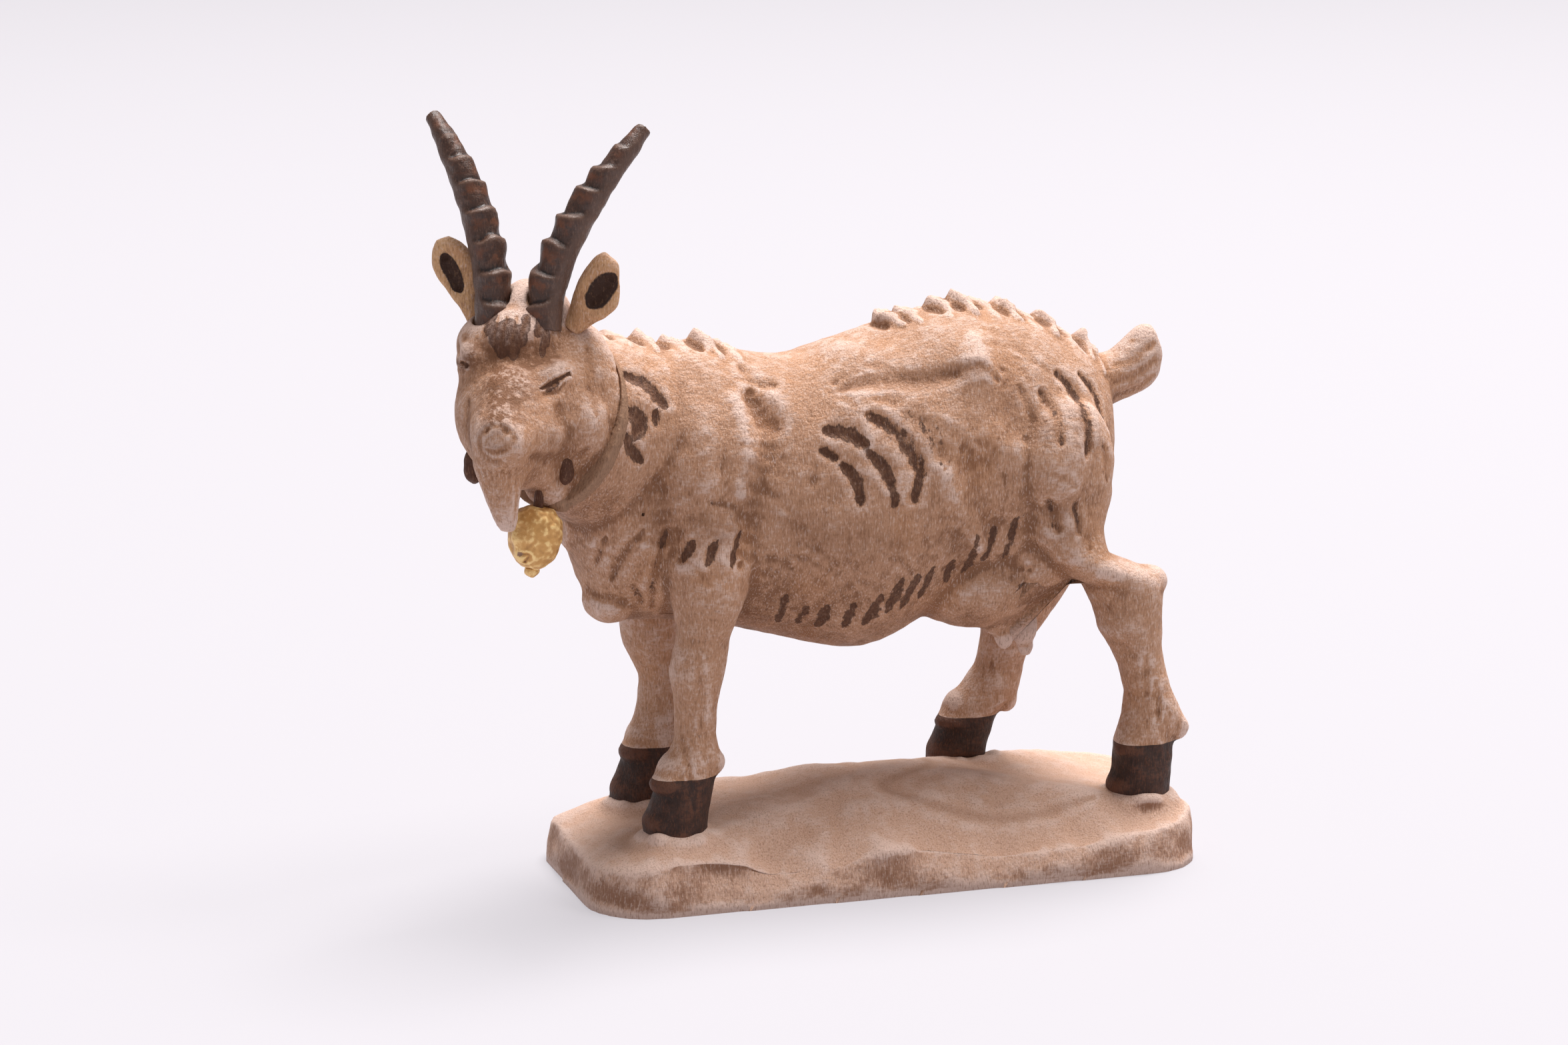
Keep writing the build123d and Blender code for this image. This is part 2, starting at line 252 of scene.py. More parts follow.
def markHollows(piece, reach):
    # how deep each point lies in its surroundings, for stain that pools and colour that rubs off
    points, normals = readPoints(piece), readNormals(piece)
    edges = np.empty(len(piece.data.edges) * 2, dtype=np.int64)
    piece.data.edges.foreach_get("vertices", edges)
    a, b = edges.reshape(-1, 2).T
    count = np.bincount(np.concatenate((a, b)), minlength=len(points))[:, None]
    smooth = points.copy()
    levels = []
    for turnNumber in range(reach):
        total = np.zeros_like(smooth)
        for axis in range(3):
            total[:, axis] = (np.bincount(a, smooth[b, axis], len(points))
                              + np.bincount(b, smooth[a, axis], len(points)))
        smooth = 0.4 * smooth + 0.6 * total / np.maximum(count, 1)
        if turnNumber + 1 in (4, reach):
            levels.append(((smooth - points) * normals).sum(1))
    writeMask(piece, "fineHollow", levels[0] * 12)
    writeMask(piece, "hollow", levels[-1] * 3)
    return piece


def rayHit(piece, start, direction):
    found, spot = piece.ray_cast(Vector(start) * mm, Vector(direction))[:2]
    return np.array(spot) / mm if found else None


def hits(spots):
    return [spot for spot in spots if spot is not None]


def onFlank(piece, stops, side):
    # stops are percent along the torso, chest to rump, and percent up it; side is -1 for the left flank
    spots = []
    for along, up in stops:
        x = torsoLow[0] + (torsoHigh[0] - torsoLow[0]) * along / 100
        z = torsoLow[2] + (torsoHigh[2] - torsoLow[2]) * up / 100
        spots.append(rayHit(piece, (x, side * 60, z), (0, -side, 0)))
    return hits(spots)


def onBack(piece, along, off=0.0):
    x = torsoLow[0] + (torsoHigh[0] - torsoLow[0]) * along / 100
    return rayHit(piece, (x, off, 120), (0, 0, -1))


def inHead(side, forward, up):
    return brow + toLeft * side + ahead * forward + upward * up


def onFace(piece, stops):
    # stops are millimetres to the goat's left of the brow and above it
    return hits([rayHit(piece, inHead(side, 40, up), -ahead) for side, up in stops])


# Body: torso, neck, head, beard, tail, legs and hooves are carved as one, and parted at their joints after
bodyNodes = ["torso", "neck", "head", "beard", "tail"]
legNames = ["front_left", "front_right", "rear_left", "rear_right"]
bodyNodes += ["leg_" + name for name in legNames] + ["hoof_" + name for name in legNames]


def footOf(name):
    low, high = boxOf("hoof_" + name)
    return low, high, (low + high) / 2


print("carving the body")
blocks = [blank(node) for node in bodyNodes]
blocks += [blank(node) for node in ("leg_dowels", "tail_dowel", "neck_dowel")]
for name in legNames:
    low, high, middle = footOf(name)
    blocks.append(lump((middle[0], middle[1], low[2] + 0.6), 3.6, (1.05, 0.98, 0.75)))
    blocks.append(lump((middle[0], middle[1], high[2]), 3.0, (1.0, 1.0, 1.2)))
    blocks.append(lump((middle[0] - 2.0, middle[1], low[2] + 2.8), 2.9, (1.0, 1.15, 0.75), -12))
    blocks.append(lump((middle[0] - 1.2, middle[1] - 0.8, high[2] - 0.9), 2.7, (1.1, 1.05, 0.55)))
    # dewclaws at the back of each foot
    heel = {"front_left": 4.5, "front_right": 3.8, "rear_left": 4.9, "rear_right": 6.2}[name]
    for side in (-1, 1):
        claw = (middle[0] + heel, middle[1] + side * 1.3, high[2] + 1.5)
        blocks.append(lump(claw, 1.5, (1.0, 0.9, 1.15), 20))
masses = {
    "udder": ((13.4, -3.6, 38.2), 7.0, (1.35, 1.05, 0.95), -6),
    "teatFront": ((16.4, -4.2, 33.0), 2.3, (1.15, 0.9, 1.2), 8),
    "teatFrontTip": ((17.2, -4.6, 30.2), 1.35, (1.0, 0.8, 1.4), 8),
    "groin": ((20.5, -7.8, 41.0), 4.8, (1.25, 0.8, 0.9), 0),
    "teatBack": ((20.6, -3.0, 30.6), 1.8, (1.0, 0.8, 1.4), 4),
    "teatBackTip": ((21.0, -2.6, 27.9), 1.1, (1.0, 0.8, 1.4), 4),
    "haunchLeft": ((22.0, -8.2, 54.0), 8.6, (1.0, 0.72, 1.15), -12),
    "haunchRight": ((22.0, 8.2, 54.0), 8.6, (1.0, 0.72, 1.15), -12),
    "shoulderLeft": ((-26.5, -6.8, 54.0), 8.4, (0.85, 0.66, 1.35), 12),
    "shoulderRight": ((-26.5, 6.8, 54.0), 8.4, (0.85, 0.66, 1.35), 12),
    "upperArmLeft": ((-26.6, -8.6, 44.5), 4.9, (1.0, 0.95, 0.9), 0),
    "upperArmRight": ((-26.6, 8.0, 43.5), 5.2, (1.0, 0.92, 0.9), 0),
    "chestTuft": ((-36.0, -1.0, 38.6), 3.4, (1.2, 1.3, 0.9), 0),
    "hockLeft": ((34.4, -10.3, 37.4), 3.0, (1.15, 0.9, 0.8), 0),
}
for place, size, stretch, lean in masses.values():
    blocks.append(lump(place, size, stretch, lean))
headMasses = [
    ((0.65, 7.6, -6.9), 3.3, (0.92, 0.85, 0.95)),     # muzzle
    ((0.6, 5.2, -5.2), 4.2, (0.9, 0.95, 0.9)),        # bridge of the nose
    ((0.5, 1.8, -2.6), 4.6, (0.95, 0.95, 0.85)),
    ((3.4, 1.6, -7.0), 4.2, (0.9, 1.0, 1.0)),         # left side of the muzzle
    ((-1.6, 1.8, -6.4), 4.0, (0.8, 1.0, 1.0)),        # right side of the muzzle
    ((4.4, -3.2, -12.4), 3.7, (1.0, 1.0, 1.0)),       # throat
    ((1.6, 1.4, -10.8), 3.3, (0.9, 1.0, 1.1)),
    ((3.0, 0.2, -10.6), 3.3, (0.9, 1.0, 1.1)),
    ((5.6, -2.6, -9.6), 3.6, (1.0, 1.0, 1.0)),
    ((3.9, -1.9, -13.8), 3.0, (1.0, 1.0, 1.1)),
    ((5.0, -1.6, -0.2), 3.1, (0.95, 0.9, 0.8)),       # left brow
    ((-4.6, -1.6, 1.2), 3.2, (0.95, 0.9, 0.85)),      # right brow
    ((7.4, -3.6, -6.4), 4.8, (0.9, 0.9, 1.1)),        # left cheek
    ((-3.8, -2.4, -6.4), 4.2, (0.8, 0.9, 1.1)),       # right cheek
    ((0.4, -3.6, 3.4), 5.4, (0.95, 0.8, 0.9)),        # forehead
    ((0.9, 5.2, -10.2), 3.2, (0.9, 0.9, 1.0)),        # chin
]
for place, size, stretch in headMasses:
    blocks.append(lump(inHead(*place), size, stretch))
body = carveBlock(glue(blocks, "carved_body"), goat["voxel"], 10)
print("  body skin", len(body.data.vertices), "points")

# the face is rubbed down until its planes run into each other
points = readPoints(body)
offset = points - brow
faceShare = (np.clip(offset @ ahead + 3.2, 0, 2) / 2 * np.clip(3.4 - offset[:, 2], 0, 2) / 2
             * np.clip(offset[:, 2] + 14.5, 0, 2) / 2 * (offset @ ahead < 14))
group = body.vertex_groups.new(name="face")
for index in np.nonzero(faceShare > 0.02)[0]:
    group.add([int(index)], float(faceShare[index]), "REPLACE")
useModifier(body, "SMOOTH", factor=0.5, iterations=70, vertex_group="face")
body.vertex_groups.clear()

# First pass: the big forms
forms = Chisel(body)
muscles = {      # percent along and up the flank, width, height (swelling) or depth (hollow)
    "swell": [
        ([(70, 87)], 4.2, 1.0), ([(71, 92), (72, 84)], 2.4, 0.25),
        ([(20, 72), (22, 60)], 6.5, 0.5), ([(44, 42), (60, 44)], 8.0, 0.6),
        ([(27, 80), (29, 68), (27, 56)], 2.4, 0.45), ([(77, 60), (84, 52)], 5.5, 0.5),
        ([(62, 60), (66, 46), (70, 36)], 2.2, 0.45),
    ],
    "cut": [
        ([(31, 82), (32, 68), (30, 56), (29, 46), (27, 36)], 2.8, 0.85),
        ([(46, 83), (56, 83), (66, 84)], 2.6, 0.55), ([(75, 84), (76, 74), (78, 66)], 3.0, 0.5),
        ([(66, 64), (69, 50), (73, 40)], 3.0, 0.55), ([(13, 60), (14, 48), (16, 38)], 2.6, 0.7),
        ([(40, 58), (48, 52), (56, 52)], 5.0, 0.45), ([(64, 30), (70, 27), (80, 27)], 2.2, 0.55),
        ([(90, 62), (91, 48), (90, 34)], 2.6, 0.45),
    ],
}
for side in (-1, 1):
    for stops, width, height in muscles["swell"]:
        forms.swell(onFlank(body, stops, side), width, height)
    for stops, width, depth in muscles["cut"]:
        forms.cut(onFlank(body, stops, side), width * 1.3, depth * 0.8, lip=0.0)
slimmer = [      # leg, mm up it, mm taken off
    ("front_left", 20.0, 0.8), ("front_left", 27.0, 0.6), ("front_left", 13.0, 0.5),
    ("front_right", 19.0, 0.5), ("rear_left", 13.0, 0.4), ("rear_right", 11.0, 0.3),
]
for name, height, shrink in slimmer:
    low, high, middle = footOf(name)
    lean = {"front": 1.2, "rear_": 0.6}[name[:5]]
    spot = (middle[0] + lean, middle[1], low[2] + height)
    forms.swell([spot, (spot[0] + 0.2, spot[1], spot[2] + 2.5)], 4.2, -shrink)
forms.ripple(6.5, 0.34, 3)
forms.ripple(3.6, 0.14, 5)
forms.ripple(1.9, 0.07, 7)
body = forms.finish()
print("  big forms cut")

# Second pass: tufts, gouge cuts, face and paint
cuts = Chisel(body)
for along, width, height in (
        (5, 1.9, 0.9), (8, 1.3, 0.5), (13.5, 1.6, 1.0), (18.5, 1.1, 0.7), (24, 1.7, 1.2), (28, 1.0, 0.45),
        (57.5, 1.2, 1.2), (61, 1.1, 0.7), (67, 1.6, 0.9), (71, 1.7, 1.3), (74.5, 0.9, 0.5), (79, 1.3, 1.2),
        (82.5, 1.0, 0.4), (86.5, 1.5, 1.3), (90, 0.9, 0.3), (94.5, 1.4, 1.0)):
    for off in (-0.8, 0.8):
        top = onBack(body, along, off * chance.uniform(0.4, 1.2))
        back = onBack(body, along + 2.6, off * 1.6)
        cuts.swell([top], width * 0.72, height * 0.45)
        cuts.swell([top, back], width * 0.85, height * 0.65)
        for reach in (1.0, 2.2):
            lock = [onBack(body, along + reach, off * 1.2),
                    onBack(body, along + reach + chance.uniform(0.0, 1.6), off * chance.uniform(3.4, 5.2))]
            cuts.swell(lock, 0.75, height * 0.35)
    for side in (-1, 1):
        start = onBack(body, along - 1.4, side * 0.3)
        end = onBack(body, along + chance.uniform(-0.5, 1.5), side * chance.uniform(2.2, 3.4))
        cuts.cut([start, end], 0.85, 0.28 * width)
        cuts.brush("stain", [start, end], 0.8, chance.uniform(0.2, 0.7))

gouges = {      # percent along and up the left flank, width, depth, paint
    "mane": [
        ([(8, 89), (12, 86), (15, 80)], 1.0, 0.55, 0.9), ([(8, 80), (10, 77), (9, 73)], 1.3, 0.6, 0.95),
        ([(13, 79), (13, 75)], 0.6, 0.3, 0.7), ([(7, 74), (8, 70), (10, 66)], 0.9, 0.5, 0.95),
    ],
    "shoulder": [
        ([(30, 88), (32, 84), (35.5, 83)], 1.2, 0.5, 0.15),
        ([(30, 81), (32, 76), (34.5, 72)], 1.5, 0.55, 0.12),
    ],
    "ribs": [
        ([(42.5, 71), (46, 70), (49, 67)], 1.05, 0.55, 1.0),
        ([(49.5, 65), (52, 60), (53, 55)], 0.95, 0.55, 0.9),
        ([(53.4, 54), (53.2, 50)], 0.6, 0.3, 0.8), ([(41.5, 66), (44, 63.5)], 0.7, 0.45, 0.9),
        ([(45, 62), (47, 57), (47.6, 51)], 0.85, 0.5, 0.95),
        ([(50, 75), (53.5, 71), (57, 65), (58.5, 58)], 1.3, 0.6, 0.52),
        ([(57.8, 58), (57, 51)], 0.8, 0.4, 0.85),
        ([(56, 75), (61, 68), (62.5, 60)], 1.5, 0.35, 0.3),
    ],
    "rump": [
        ([(86, 82), (89, 76), (90, 68), (89, 60)], 1.0, 0.6, 0.55),
        ([(91, 81), (94, 74), (95, 66)], 0.8, 0.5, 0.5),
        ([(82, 78), (84, 72), (84, 64)], 1.0, 0.5, 0.25), ([(82, 48), (84, 39)], 0.9, 0.45, 0.35),
        ([(87, 47), (88, 38)], 0.7, 0.4, 0.45), ([(93, 62), (94, 52)], 0.9, 0.4, 0.25),
        ([(78, 80), (80, 70)], 0.7, 0.3, 0.15),
    ],
    "elbow": [
        ([(15, 46), (14, 41)], 0.75, 0.35, 0.6), ([(18.5, 43), (17, 38)], 0.8, 0.3, 0.75),
        ([(22, 43), (20.5, 37)], 0.75, 0.3, 0.8), ([(27, 45), (25, 36)], 0.75, 0.35, 0.75),
    ],
    "chest": [
        ([(11, 46), (8, 39), (6.5, 31)], 0.8, 0.4, 0.2), ([(14, 40), (13, 30), (14, 22)], 0.7, 0.35, 0.25),
        ([(10, 30), (12, 24)], 0.7, 0.3, 0.3), ([(5, 44), (4, 36)], 0.7, 0.35, 0.15),
    ],
}
mirroredShift = {"mane": 1.5, "shoulder": -1.0, "ribs": 2.0, "rump": -1.0, "elbow": 0.5, "chest": 0.0}
for place, strokes in gouges.items():
    for stops, width, depth, paint in strokes:
        for side in (-1, 1):
            nudge = mirroredShift[place] if side > 0 else 0.0
            spots = onFlank(body, [(along + nudge, up - nudge) for along, up in stops], side)
            cuts.cut(spots, width * 1.3, depth * 0.8, lip=0.06)
            cuts.brush("stroke", spots, width, paint)
# the row of brown dashes along the belly and up to the thigh
dashes = [
    ((36, 25), (36, 16)), ((40, 21), (39.5, 15)), ((43.5, 21), (43, 14.5)), ((48, 21.5), (47, 14)),
    ((52.5, 24), (50.5, 15)), ((55.5, 28), (54, 19)), ((58.5, 29), (56.5, 19)), ((61.5, 31), (60, 22)),
    ((65.3, 32), (65, 26)), ((69.5, 39), (68.5, 28)), ((73, 41), (71.5, 31)), ((77, 43), (75.5, 31)),
]
for top, foot in dashes:
    for side in (-1, 1):
        spots = onFlank(body, [top, foot], side)
        width = chance.uniform(0.7, 1.0)
        cuts.brush("stroke", spots, width, 0.72)
        cuts.cut(spots, width, 0.12, lip=0.0)

for spots in ([onBack(body, along) for along in (57, 66, 76, 86, 96)],
              [onBack(body, along) for along in (3, 10, 18, 28)]):
    cuts.swell(spots, 1.5, 0.5)
# the crease under the back, the warm band down the hip and stain along the folds
for side in (-1, 1):
    crease = onFlank(body, [(46, 81), (54, 83), (62, 83), (70, 86), (74, 82)], side)
    cuts.cut(crease, 1.3, 0.22, lip=0.3)
    cuts.brush("stain", crease, 1.2, 0.55)
    for stops, width, stain in (
            ([(30, 64), (29, 54), (28, 46)], 2.2, 0.45), ([(76, 82), (76, 72)], 1.8, 0.5),
            ([(80, 70), (84, 66)], 1.8, 0.6), ([(34, 50), (44, 40), (56, 40)], 3.0, 0.3),
            ([(88, 72), (90, 62)], 2.4, 0.6), ([(12, 56), (14, 46)], 2.4, 0.45),
            ([(62, 40), (68, 34)], 2.4, 0.35),
            ([(20, 48), (26, 44)], 2.4, 0.5), ([(84, 46), (88, 36)], 2.4, 0.4)):
        cuts.brush("stain", onFlank(body, stops, side), width, stain)

# face
eyes = {"left": (5.6, -1.3, 1), "right": (-6.3, 0.9, -1)}
for side, up, sign in eyes.values():
    lid = onFace(body, [(side - 1.1 * sign, up + 0.1), (side, up + 0.6), (side + 1.8 * sign, up + 1.6)])
    under = onFace(body, [(side - 0.8 * sign, up - 0.5), (side + 0.4 * sign, up - 0.6),
                          (side + 1.4 * sign, up + 0.5)])
    ball = onFace(body, [(side - 0.6 * sign, up - 0.3), (side + 0.7 * sign, up + 0.3)])
    cuts.cut(lid, 0.42, 0.34, lip=0.4)
    cuts.cut(under, 0.4, 0.14)
    cuts.brush("stroke", lid, 0.3, 0.95)
    cuts.brush("stain", ball, 0.9, 1.2)
    cuts.brush("stroke", ball, 0.42, 0.6)
    cuts.swell(onFace(body, [(side - 1.4 * sign, up + 1.6), (side + 0.8 * sign, up + 2.6)]), 1.0, 0.2)
ring = [(0.68 + 2.25 * math.cos(a), -6.9 + 2.2 * math.sin(a)) for a in np.linspace(0.3, 1.55 * math.pi, 15)]
cuts.cut(onFace(body, ring), 0.45, 0.12, lip=0.2, taper=0.0)
cuts.brush("stain", onFace(body, ring), 0.45, 0.4, taper=0.0)
for side in (-0.5, 1.7):
    nostril = onFace(body, [(side, -5.0), (side + (side - 0.6) * 0.25, -5.6)])
    cuts.cut(nostril, 0.5, 0.2)
    cuts.brush("stain", nostril, 0.7, 0.5)
cuts.cut(onFace(body, [(-0.7, -7.6), (0.6, -7.9), (1.9, -7.5)]), 0.4, 0.12)
cuts.brush("stain", onFace(body, [(-0.8, -7.3), (0.6, -7.6), (2.0, -7.2)]), 0.8, 0.5)
faceCuts = [      # mm left of the brow and above it, width, depth, stain
    ([(6.6, -3.4), (6.6, -7.0), (5.2, -10.4)], 1.2, 0.45, 0.3),
    ([(4.2, -9.0), (7.2, -10.4), (9.4, -9.4)], 0.9, 0.4, 0.3),
    ([(-4.6, -3.0), (-4.4, -6.0), (-3.4, -8.6)], 1.0, 0.4, 0.25),
    ([(9.6, -2.0), (10.6, -5.0)], 0.8, 0.3, 0.2),
    ([(2.9, -2.4), (2.6, -4.2)], 1.1, 0.3, 0.2), ([(-1.4, -1.2), (-1.2, -3.6)], 1.1, 0.3, 0.2),
    ([(8.6, 3.0), (9.4, 0.4), (9.4, -2.0)], 0.7, 0.3, 0.2), ([(-7.4, 3.4), (-6.6, 2.2)], 0.6, 0.35, 0.35),
    ([(-7.6, 5.4), (-6.2, 4.2)], 0.6, 0.35, 0.3),
]
for stops, width, depth, stain in faceCuts:
    spots = onFace(body, stops)
    cuts.cut(spots, width * 1.5, depth * 0.6, lip=0.0)
    cuts.brush("stain", spots, width * 1.6, stain)
faceStains = [
    ([(0.2, 1.4), (0.5, -1.2), (0.6, -3.6)], 4.2, 1.3), ([(-4.5, 2.0), (0.5, 2.2), (5.0, 2.4)], 3.0, 1.3),
    ([(-3.6, 2.4), (-3.0, -0.6)], 2.2, 0.5), ([(3.4, 1.6), (3.2, -2.0)], 2.0, 0.55),
    ([(7.8, -7.4), (6.2, -9.6)], 1.9, 0.4), ([(9.4, 1.8), (10.4, -2.4)], 1.8, 0.4),
]
for stops, width, stain in faceStains:
    cuts.brush("stain", onFace(body, stops), width, stain)
for side in np.linspace(-3.0, 4.4, 7):
    lean = chance.uniform(-0.5, 0.5)
    lock = onFace(body, [(side, 7.2), (side + lean, 4.8), (side + lean * 1.5, chance.uniform(1.6, 3.0))])
    cuts.cut(lock, 0.5, 0.16, lip=0.2)
browPaint = [      # mm left of the brow and above it, width
    (-1.6, 4.8, 1.2), (-0.3, 5.2, 1.4), (1.0, 4.6, 1.2), (-0.8, 3.2, 1.1), (0.6, 2.9, 0.8),
    (3.4, 5.6, 0.9), (4.1, 4.2, 0.75), (3.9, 3.0, 0.5), (-2.6, 5.8, 1.0), (1.8, 5.9, 0.7),
]
for side, up, width in browPaint:
    cuts.brush("stroke", onFace(body, [(side, up + 1.2), (side, up - 0.6)]), width, 1.2)
for count in range(7):      # grooves down the beard
    side = -2.2 + count * 0.8
    groove = [(side + 0.2, -10.2), (side * 0.75 + 0.6, -13.6), (side * 0.4 + 0.9, -17.6)]
    cuts.cut(onFace(body, groove), 0.5, 0.15, lip=0.1)

# tail, legs and neck: short cuts along the hair
tailLow, tailHigh = boxOf("tail")
for count in range(4):
    share = 0.18 + count * 0.2
    for side in (-1, 1):
        z = tailLow[2] + (tailHigh[2] - tailLow[2]) * share
        stops = [rayHit(body, (tailLow[0] + reach, side * 40, z + rise), (0, -side, 0))
                 for reach, rise in ((2.2, -0.4), (5.4, 0.4), (8.6, 2.2))]
        cuts.cut(hits(stops), 0.9, 0.2, lip=0.0)
for count in range(100):
    along, up = chance.uniform(2, 98), chance.uniform(6, 96)
    side = chance.choice((-1, 1))
    length = chance.uniform(4.0, 9.0)
    drop = length * chance.uniform(0.3, 1.4)
    stops = onFlank(body, [(along, up), (along + length * 0.6, up - drop * 0.4), (along + length, up - drop)],
                    side)
    if len(stops) == 3:
        cuts.cut(stops, chance.uniform(0.5, 1.0), chance.uniform(0.04, 0.1), lip=0.3)
        cuts.brush("stain", stops, 0.6, chance.uniform(0.0, 0.2))
for name in legNames:
    low, high, middle = footOf(name)
    for count in range(12):
        side = chance.choice((-1, 1))
        z = high[2] + chance.uniform(1.0, 18.0)
        x = middle[0] + chance.uniform(-1.5, 3.5) + (z - high[2]) * (-0.12 if "rear_left" in name else 0.12)
        stops = [rayHit(body, (x, side * 40, z), (0, -side, 0)),
                 rayHit(body, (x + 0.4, side * 40, z - 6.0), (0, -side, 0))]
        if len(hits(stops)) == 2:
            cuts.cut(stops, 0.6, chance.uniform(0.05, 0.12), lip=0.3)
cuts.ripple(1.1, 0.05, 9)
for layer in ("stroke", "stain"):
    cuts.paint.setdefault(layer, np.zeros(len(cuts.points)))
body = cuts.finish()
markHollows(body, 26)
print("  tufts, gouge cuts and face done")


# Parting: the body is cut at its joints, and each part closed with a flat face
def facePlaces(piece):
    places = np.empty(len(piece.data.polygons) * 3)
    piece.data.polygons.foreach_get("center", places)
    return places.reshape(-1, 3) / mm


def chooseFaces(piece, mask):
    deselectAll()
    bpy.context.tool_settings.mesh_select_mode = (False, False, True)
    piece.data.vertices.foreach_set("select", np.zeros(len(piece.data.vertices), dtype=bool))
    piece.data.edges.foreach_set("select", np.zeros(len(piece.data.edges), dtype=bool))
    piece.data.polygons.foreach_set("select", mask)
    pick(piece)
    bpy.ops.object.mode_set(mode="EDIT")


def scoreLine(piece, spot, normal, within):
    # scores an edge line where a plane crosses the part of the skin that is within reach
    chooseFaces(piece, within(facePlaces(piece)))
    bpy.ops.mesh.bisect(plane_co=Vector(spot) * mm, plane_no=Vector(normal), threshold=0.01 * mm)
    bpy.ops.object.mode_set(mode="OBJECT")


def partOff(piece, inside, name):
    chooseFaces(piece, inside(facePlaces(piece)))
    bpy.ops.mesh.separate(type="SELECTED")
    bpy.ops.object.mode_set(mode="OBJECT")
    part = [other for other in bpy.context.selected_objects if other is not piece][0]
    part.name = name
    part.data.name = name
    return part


def closePart(piece):
    pick(piece)
    bpy.ops.object.mode_set(mode="EDIT")
    bpy.context.tool_settings.mesh_select_mode = (True, False, False)
    bpy.ops.mesh.select_all(action="SELECT")
    bpy.ops.mesh.fill_holes(sides=0)
    bpy.ops.object.mode_set(mode="OBJECT")
    shape = bmesh.new()
    shape.from_mesh(piece.data)
    for face in shape.faces:
        if len(face.verts) > 6:
            face.smooth = False
            for edge in face.edges:
                edge.smooth = False
    shape.to_mesh(piece.data)
    shape.free()


collarLow, collarHigh = boxOf("collar")
collarMiddle = (collarLow + collarHigh) / 2
joinery = {
    "legTop": {"front": 37.0, "rear": 38.6},        # height of each leg's joint with the body
    "legInside": {"left": -4.6, "right": 3.4},
    "collarNormal": (-0.664, -0.612, 0.429), "collarReach": 17.0,
    "beard": (3.2, -10.8),                          # forward of the brow and above it
    "neck": (-34.2, 0, 51.0),
}


def inBox(low, high):
    return lambda p: ((p > np.array(low)) & (p < np.array(high))).all(1)


def beyond(spot, normal):
    return lambda p: (p - np.array(spot)) @ np.array(normal) > 0


def both(*tests):
    return lambda p: np.logical_and.reduce([test(p) for test in tests])


joints = {}
for name in legNames:
    low, high, middle = footOf(name)
    end, flank = name.split("_")
    edge, inside = joinery["legTop"][end], joinery["legInside"][flank]
    legLow, legHigh = boxOf("leg_" + name)
    sideways = (-25, inside) if flank == "left" else (inside, 25)
    box = inBox((legLow[0] - 3, sideways[0], -5), (legHigh[0] + 4, sideways[1], 60))
    joints["hoof_" + name] = (box, [((0, 0, high[2]), (0, 0, 1))], high[2])
    joints["leg_" + name] = (box, [((0, 0, edge), (0, 0, 1)), ((0, inside, 0), (0, 1, 0))], edge)
parts = {}
for name, (box, planes, top) in joints.items():
    below, between = inBox((-50, -30, -5), (50, 30, top + 3)), inBox((-50, -8, -5), (50, 8, top + 3))
    for spot, normal in planes:
        scoreLine(body, spot, normal, both(below, box if normal[2] else between))
    parts[name] = partOff(body, both(box, beyond((0, 0, top), (0, 0, -1))), "carved_" + name)
scoreLine(body, collarMiddle, joinery["collarNormal"],
          lambda p: np.linalg.norm(p - collarMiddle, axis=1) < joinery["collarReach"])
head = partOff(body, beyond(collarMiddle, joinery["collarNormal"]), "carved_head")
beardCut = inHead(0, *joinery["beard"])
scoreLine(head, beardCut, (0, 0, 1), beyond(beardCut, ahead))
scoreLine(head, beardCut, ahead, beyond(beardCut, (0, 0, -1)))
parts["beard"] = partOff(head, both(beyond(beardCut, ahead), beyond(beardCut, (0, 0, -1))), "carved_beard")
parts["head"] = head
neckEdge = joinery["neck"]
scoreLine(body, neckEdge, (1, 0, 0), inBox((-60, -30, 48), (-25, 30, 90)))
scoreLine(body, neckEdge, (0, 0, 1), inBox((-60, -30, 45), (neckEdge[0], 30, 60)))
parts["neck"] = partOff(body, both(beyond(neckEdge, (-1, 0, 0)), beyond(neckEdge, (0, 0, 1))), "carved_neck")
tailEdge = (torsoHigh[0] + 0.4, 0, tailLow[2] - 1.5)
scoreLine(body, tailEdge, (1, 0, 0), beyond(tailEdge, (0, 0, 1)))
parts["tail"] = partOff(body, both(beyond(tailEdge, (1, 0, 0)), beyond(tailEdge, (0, 0, 1))), "carved_tail")
parts["torso"] = body
body.name = "carved_torso"
body.data.name = "carved_torso"
for piece in parts.values():
    closePart(piece)
print("  parted into", len(parts), "pieces")


# Horns: ridged up the front, with painted highlights on the ledges of the rings and rubbed pale on the outer
# sides
hornStops = {
    "left": [(3.2, -3.8, 4.8), (4.0, -5.0, 11.2), (7.1, -6.6, 18.6), (14.6, -12.0, 29.6)],
    "right": [(-3.3, -3.8, 4.8), (-3.6, -5.0, 11.0), (-5.5, -6.6, 18.3), (-12.8, -12.0, 30.6)],
}
horns = {"ridgeGap": 4.2, "ridgeHeight": 0.75, "voxel": 0.22, "thinner": 0.18}


